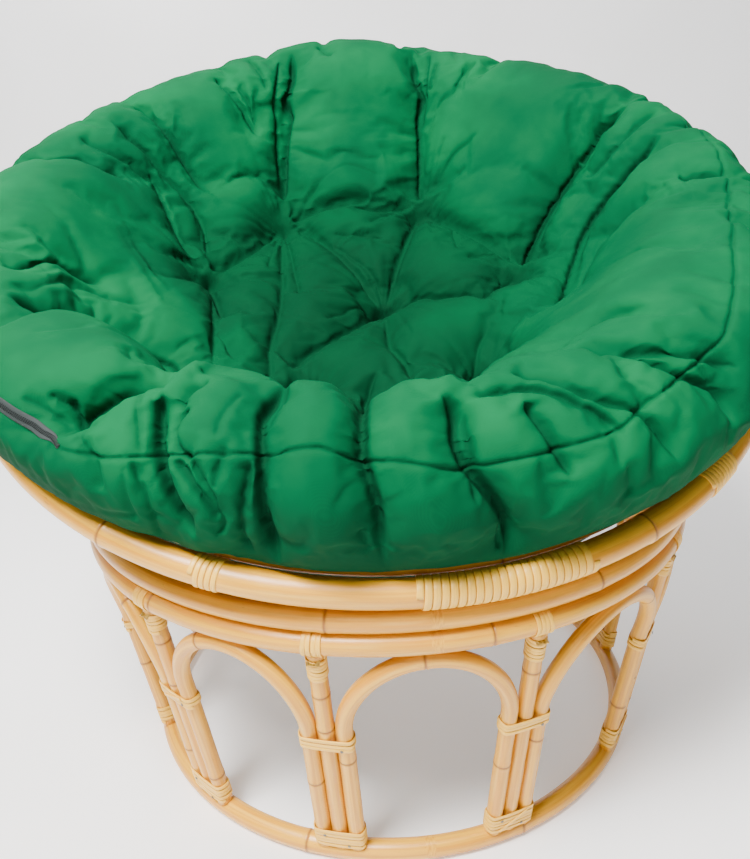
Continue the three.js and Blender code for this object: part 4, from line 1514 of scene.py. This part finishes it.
class CHAIR_OT_cushion(bpy.types.Operator):
    """Fill, tuft, fold and seam the round cushion"""

    bl_idname = "chair.cushion"
    bl_label = "Cushion"

    def execute(self, context):
        size = context.scene.chair_cushion
        vertices, faces = cushion_shell()
        made = new_object("cushion_cover", vertices, faces, cloth_finish())
        remesh(made, size.voxel)
        where = ClothPlace(read_points(made.data))
        pits = tuft_depth(where, 0.045, 1.0) + tuft_depth(where, 0.011, 0.55)
        draw_down(made, top_mask(where) * pits)
        where = ClothPlace(read_points(made.data))
        push(made, top_mask(where) * fold_depths(where, HELD_CREASE)[2])
        simulate_cloth(made, size.swell)
        subdivide(made, 1)
        self.refine(made)
        self.detail(made)
        seat_zip(made)
        self.keep_inside(made)
        finish_piece(made, "cushion", "cushion_cloth", "cushion")
        return {"FINISHED"}

    def refine(self, made):
        """Splits the faces beside the creases and the seam, so that these can be narrow"""
        where = ClothPlace(read_points(made.data))
        close = fold_depths(where, CREASE)[0] > 0.5 * MM
        close |= np.abs(where.seam_gap) < 5 * MM
        close &= top_mask(where) > 0
        shape = bmesh.new()
        shape.from_mesh(made.data)
        edges = [edge for edge in shape.edges if all(close[corner.index] for corner in edge.verts)]
        bmesh.ops.subdivide_edges(shape, edges=edges, cuts=1, use_grid_fill=True)
        shape.to_mesh(made.data)
        shape.free()
        made.data.update()

    def detail(self, made):
        """Sharp folds, gathers along the seam, and painted shade in the creases and hollows"""
        where = ClothPlace(read_points(made.data))
        mask = top_mask(where)
        crease, lap, _ = fold_depths(where, CREASE)
        near_seam = np.exp(-np.abs(where.seam_gap) / 0.026)
        gathers = near_seam * ripple(where, 5, 40, 95, GATHER_DEPTH)
        stitch = bell(where.seam_gap, SEAM_WIDTH)
        wall = ease(where.radius, 0.24, 0.34) * (1 - near_seam)
        wander = wall * ripple(where, 11, 18, 60, WANDER_DEPTH)
        rays = tuft_rays(where, RAY_DEPTH)
        turn = np.degrees(where.azimuth)
        at_zip = ease(turn, -58, -54) * (1 - ease(turn, -39, -37))
        at_zip = at_zip * np.exp(-((where.seam_gap / 0.016) ** 4))
        depth = crease + lap + gathers + SEAM_DEPTH * stitch + wander + rays
        push(made, mask * (1 - at_zip) * depth)
        # Painted shade in the seam and in the creases, darker where the creases are deeper
        dark = mask * (SEAM_PAINTED_SHADE * stitch + np.clip(crease / 0.009, 0, 0.9))
        # Painted shade in the tufts' pits
        dark = np.maximum(dark, mask * tuft_depth(where, 0.026, 34.0))
        # Painted shade in the dish, darker lower down, and low on the roll, standing in for their
        # shade
        in_dish = where.on_top & (where.radius < where.inner)
        dish_painted_shade = DISH_PAINTED_SHADE * ease(-where.height, -0.05, 0.05)
        low_painted_shade = LOW_PAINTED_SHADE * (1 - ease(where.angle, -0.6, 0.9))
        dark = np.maximum(dark, np.where(in_dish, dish_painted_shade, low_painted_shade))
        # The crease attribute carries this painted shade into the cloth's colour
        field = made.data.attributes.new("crease", "FLOAT", "POINT")
        field.data.foreach_set("value", np.clip(dark, 0, 1).astype(np.float32))
        shade_smooth(made.data)

    def keep_inside(self, made):
        """Holds the cloth in the space that its solid takes, but for a little fabric"""
        low, high = CAD_BOX
        low, high = np.array(low), np.array(high)
        spare = 0.02 * (high - low) + 0.006
        points = read_points(made.data)
        write_points(made.data, np.clip(points, low - spare, high + spare))


# Depth of the cloth under the middle of the tape, and the tape's thickness and widths
TAPE_SEAT, TAPE_THICKNESS, TAPE_WIDTH, TAPE_END_WIDTH = 2.4 * MM, 1.2 * MM, 14 * MM, 12 * MM
# Azimuth at which the tape ends, in degrees
TAPE_END = -38.4


def tape_place():
    """Azimuths, radius and height that the zip's tape takes on the cushion, from its solid"""
    rotation, centre = CUSHION_FRAME
    own = (read_points(frame["nodes"]["zip_tape"].data) - centre) @ rotation
    azimuth = np.arctan2(own[:, 0], -own[:, 1])
    reach = np.hypot(own[:, 0], own[:, 1]).mean()
    return azimuth.min(), azimuth.max(), reach, own[:, 2].mean() - rim_height()


def seat_zip(made):
    """Brings the cloth up to the back of the zip's tape"""
    points = read_points(made.data)
    where = ClothPlace(points)
    first, last, reach, height = tape_place()
    lift = roll_at(where.azimuth)[1]
    tape_rise, tape_out = height - lift, reach - where.roll_centre
    rise, out = where.height - lift, where.radius - where.roll_centre
    aim = np.arctan2(tape_rise, tape_out)
    spoke = np.hypot(rise, out)
    turn = np.arctan2(rise, out) - aim
    wanted = np.hypot(tape_rise, tape_out) - TAPE_SEAT
    beside = (np.abs(turn) < 0.10) & (where.azimuth > first - 0.2) & (where.azimuth < last + 0.2)
    order = np.argsort(where.azimuth[beside])
    turns = where.azimuth[beside][order]
    short = (wanted - spoke)[beside][order]
    kernel = np.ones(25) / 25
    short = np.convolve(np.pad(short, 12, mode="edge"), kernel, mode="valid")
    level = np.interp(where.azimuth, turns, short)
    along_it = ease(where.azimuth, first - 0.16, first)
    along_it = along_it * (1 - ease(where.azimuth, last, last + 0.10))
    even = along_it * np.exp(-((turn / 0.10) ** 4))
    soft = along_it * np.exp(-((turn / 0.55) ** 2))
    move = even * (wanted - spoke) + (1 - even) * soft * level
    move = np.where((where.radius > where.inner) & (np.abs(turn) < 1.6), move, 0.0)
    rotation = CUSHION_FRAME[0]
    outward = np.column_stack([where.out, np.zeros(len(turn))])
    spokes = outward * np.cos(turn + aim)[:, None]
    spokes[:, 2] = np.sin(turn + aim)
    write_points(made.data, points + (spokes * move[:, None]) @ rotation.T)


class CHAIR_OT_zip(bpy.types.Operator):
    """Sew the zip into the seam at the left of the cushion"""

    bl_idname = "chair.zip"
    bl_label = "Zip"

    def execute(self, context):
        first, last, reach, height = tape_place()
        turns = np.linspace(first, last, 150)
        route = np.array([out_of(turn) * reach for turn in turns])
        route[:, 2] = rim_height() + height
        centre, lift = roll_at(turns)[:2]
        slope = np.arctan2(height - lift, reach - centre)
        outward = np.array([out_of(turn) for turn in turns])
        sides = outward * np.cos(slope)[:, None]
        sides[:, 2] = np.sin(slope)
        path, sides = place(route, CUSHION_FRAME), sides @ CUSHION_FRAME[0].T
        parts = self.ribbon(path, sides, TAPE_WIDTH, np.ones(len(path)))
        tape = zip_finish("Zip tape", (0.004, 0.008, 0.007, 1), (0.018, 0.028, 0.026, 1), 0.0)
        made = join_parts("zip_tape_woven", parts, tape)
        finish_piece(made, "cushion", "zip_tape", "zip_tape")
        self.tape_end(last, tape)
        metal = zip_finish("Zip slider", (0.20, 0.20, 0.21, 1), (0.45, 0.46, 0.47, 1), 0.9)
        slider = frame["nodes"]["zip_slider"].data.materials
        slider.clear()
        slider.append(metal)
        return {"FINISHED"}

    def tape_end(self, start, material):
        """The end of the tape, which runs on in the seam to the front of the cushion"""
        cover = bpy.data.objects["cushion_cover"].data
        points, normals = read_points(cover), read_normals(cover)
        where = ClothPlace(points)
        beside = (np.abs(where.seam_gap) < 8 * MM) & where.on_top
        path, sides = [], []
        for turn in np.linspace(start - 0.01, math.radians(TAPE_END), 40):
            near = beside & (np.abs(where.azimuth - turn) < 0.014)
            path.append(points[near].mean(0))
            sides.append(normals[near].mean(0))
        path, sides = np.array(path), np.array(sides)
        for _ in range(4):
            path[1:-1] = (path[:-2] + 2 * path[1:-1] + path[2:]) / 4
            sides[1:-1] = (sides[:-2] + 2 * sides[1:-1] + sides[2:]) / 4
        sides /= np.linalg.norm(sides, axis=1)[:, None]
        path = path + sides * 1.1 * MM
        narrowing = 1 - 0.55 * ease(np.arange(len(path)), 30, 39)
        parts = self.ribbon(path, sides, TAPE_END_WIDTH, narrowing)
        finish_piece(join_parts("zip_tape_end", parts, material), "cushion", "zip_tape")

    def ribbon(self, path, sides, width, scale):
        """A length of tape and the coil on it"""
        tape = peel_section(TAPE_THICKNESS, width)
        woven = sweep(path, sides, tape, False, scale, np.zeros(len(path)))
        return [woven, self.coil(path + sides * 0.9 * MM, sides)]

    def coil(self, path, sides):
        """The zip's spiral coil, laid along the middle of the tape"""
        travel = arc_lengths(path)
        pitch, radius, turns = 2.2 * MM, 1.5 * MM, 8
        at = np.linspace(0, travel[-1], int(travel[-1] / pitch) * turns)
        middle, up = along_path(at, travel, path), along_path(at, travel, sides)
        across = np.cross(np.gradient(middle, axis=0), up)
        across /= np.linalg.norm(across, axis=1)[:, None]
        angle = (at / pitch * 2 * math.pi)[:, None]
        wound = middle + up * radius * 0.5 * np.sin(angle) + across * radius * 1.5 * np.cos(angle)
        thread = circle_section(0.45 * MM, 5)
        return sweep(wound, up, thread, False, np.ones(len(at)), np.zeros(len(at)))


# ---- the stage

# Lamps: place (m), edge (m) and power (W)
LAMPS = (
    ("Window", (-1.0, -1.25, 2.9), 1.0, 310),
    ("Ceiling", (0.5, 0.3, 3.0), 2.0, 18),
    ("Front", (-0.3, -3.0, 1.0), 1.6, 16),
    ("Wall", (0.0, 1.2, 3.4), 3.0, 30),
)
LIT_PLACE = (0, 0, 0.6)
# Strength of the room's light, and how much brighter the camera sees it behind the chair
ROOM_LIGHT, SEEN_LIGHT = 0.14, 0.70
FLOOR_GLOW = 0.36
# How far the floor lies under the chair, so that the two never share a face (m)
FLOOR_DROP = 0.0002

# The photograph's camera: focal length (mm), place (m), and its directions ahead and right
FOCAL_LENGTH = 32.66
VIEW_FROM = (-0.1298, -1.0165 + AXIS_Y, 0.7769)
VIEW_AHEAD, VIEW_RIGHT = (0.109, 0.9348, -0.338), (0.9908, -0.1295, -0.0387)


class CHAIR_OT_stage(bpy.types.Operator):
    """Lay the floor and set the lights and the camera"""

    bl_idname = "chair.stage"
    bl_label = "Stage"

    def execute(self, context):
        self.floor()
        self.lights()
        self.camera()
        return {"FINISHED"}

    def floor(self):
        material, wire, shader = fresh_material("Pale floor")
        cloud = wire.ramp(wire.noise(wire.spot(), 1.3, 5.0, 0.6, 0.6), 0.3, 0.7)
        tone = wire.blend(cloud, (0.86, 0.85, 0.83, 1), (0.92, 0.91, 0.90, 1))
        wire.feed(shader, "Base Color", tone)
        shader.inputs["Roughness"].default_value = 0.35
        shader.inputs["Emission Color"].default_value = (0.95, 0.96, 1.0, 1.0)
        shader.inputs["Emission Strength"].default_value = FLOOR_GLOW
        half, back, bend, steps = 6.0, 2.6, 0.9, 16
        profile = [(-half, 0.0)]
        for i in range(steps + 1):
            angle = math.pi / 2 * i / steps
            profile.append((back - bend + bend * math.sin(angle), bend - bend * math.cos(angle)))
        profile.append((back, half))
        vertices = [(x, y, z - FLOOR_DROP) for y, z in profile for x in (-half, half)]
        faces = [(2 * i, 2 * i + 1, 2 * i + 3, 2 * i + 2) for i in range(len(profile) - 1)]
        new_object("floor", vertices, faces, material)

    def lights(self):
        scene = bpy.context.scene
        world = bpy.data.worlds.new("Soft room")
        scene.world = world
        world.use_nodes = True
        wire = Wiring(world.node_tree)
        background = world.node_tree.nodes["Background"]
        background.inputs["Color"].default_value = (0.95, 0.97, 1.0, 1.0)
        seen = wire.add("ShaderNodeLightPath").outputs["Is Camera Ray"]
        behind = wire.maths("MULTIPLY", seen, SEEN_LIGHT)
        wire.feed(background, "Strength", wire.maths("ADD", behind, ROOM_LIGHT))
        for name, where, size, power in LAMPS:
            lamp = bpy.data.lights.new(name, "AREA")
            lamp.size = size
            lamp.energy = power
            made = bpy.data.objects.new(name, lamp)
            scene.collection.objects.link(made)
            made.location = where
            aim = Vector(LIT_PLACE) - Vector(where)
            made.rotation_euler = aim.to_track_quat("-Z", "Y").to_euler()

    def camera(self):
        scene = bpy.context.scene
        lens = bpy.data.cameras.new("Camera")
        lens.lens = FOCAL_LENGTH
        lens.sensor_width = 36
        made = bpy.data.objects.new("Camera", lens)
        scene.collection.objects.link(made)
        forward = Vector(VIEW_AHEAD).normalized()
        right = Vector(VIEW_RIGHT)
        right = (right - forward * right.dot(forward)).normalized()
        up = right.cross(forward)
        turn = Matrix((right, up, -forward)).transposed().to_4x4()
        made.matrix_world = Matrix.Translation(VIEW_FROM) @ turn
        scene.camera = made


class CHAIR_PT_panel(bpy.types.Panel):
    """Sizes, colours and pieces of the chair"""

    bl_idname = "CHAIR_PT_panel"
    bl_label = "Papasan chair"
    bl_space_type = "VIEW_3D"
    bl_region_type = "UI"
    bl_category = "Chair"

    def draw(self, context):
        layout = self.layout
        for group_name in GROUPS:
            group = getattr(context.scene, group_name)
            column = layout.column(align=True)
            for name in group.__annotations__:
                column.prop(group, name)
        for step in STEPS:
            layout.operator(step.bl_idname)


GROUPS = {"chair_canes": CaneSizes, "chair_cushion": CushionSizes, "chair_colours": ChairColours}
STEPS = (
    CHAIR_OT_stage,
    CHAIR_OT_base_rings,
    CHAIR_OT_legs,
    CHAIR_OT_leg_bindings,
    CHAIR_OT_rim,
    CHAIR_OT_ribs,
    CHAIR_OT_cushion,
    CHAIR_OT_zip,
)


def register():
    for group in (*GROUPS.values(), *STEPS, CHAIR_PT_panel):
        bpy.utils.register_class(group)
    for name, group in GROUPS.items():
        setattr(bpy.types.Scene, name, PointerProperty(type=group))


def unregister():
    for name in GROUPS:
        delattr(bpy.types.Scene, name)
    for group in reversed((*GROUPS.values(), *STEPS, CHAIR_PT_panel)):
        bpy.utils.unregister_class(group)


def main():
    register()
    for step in STEPS:
        family, name = step.bl_idname.split(".")
        getattr(getattr(bpy.ops, family), name)()


if __name__ == "__main__":
    main()
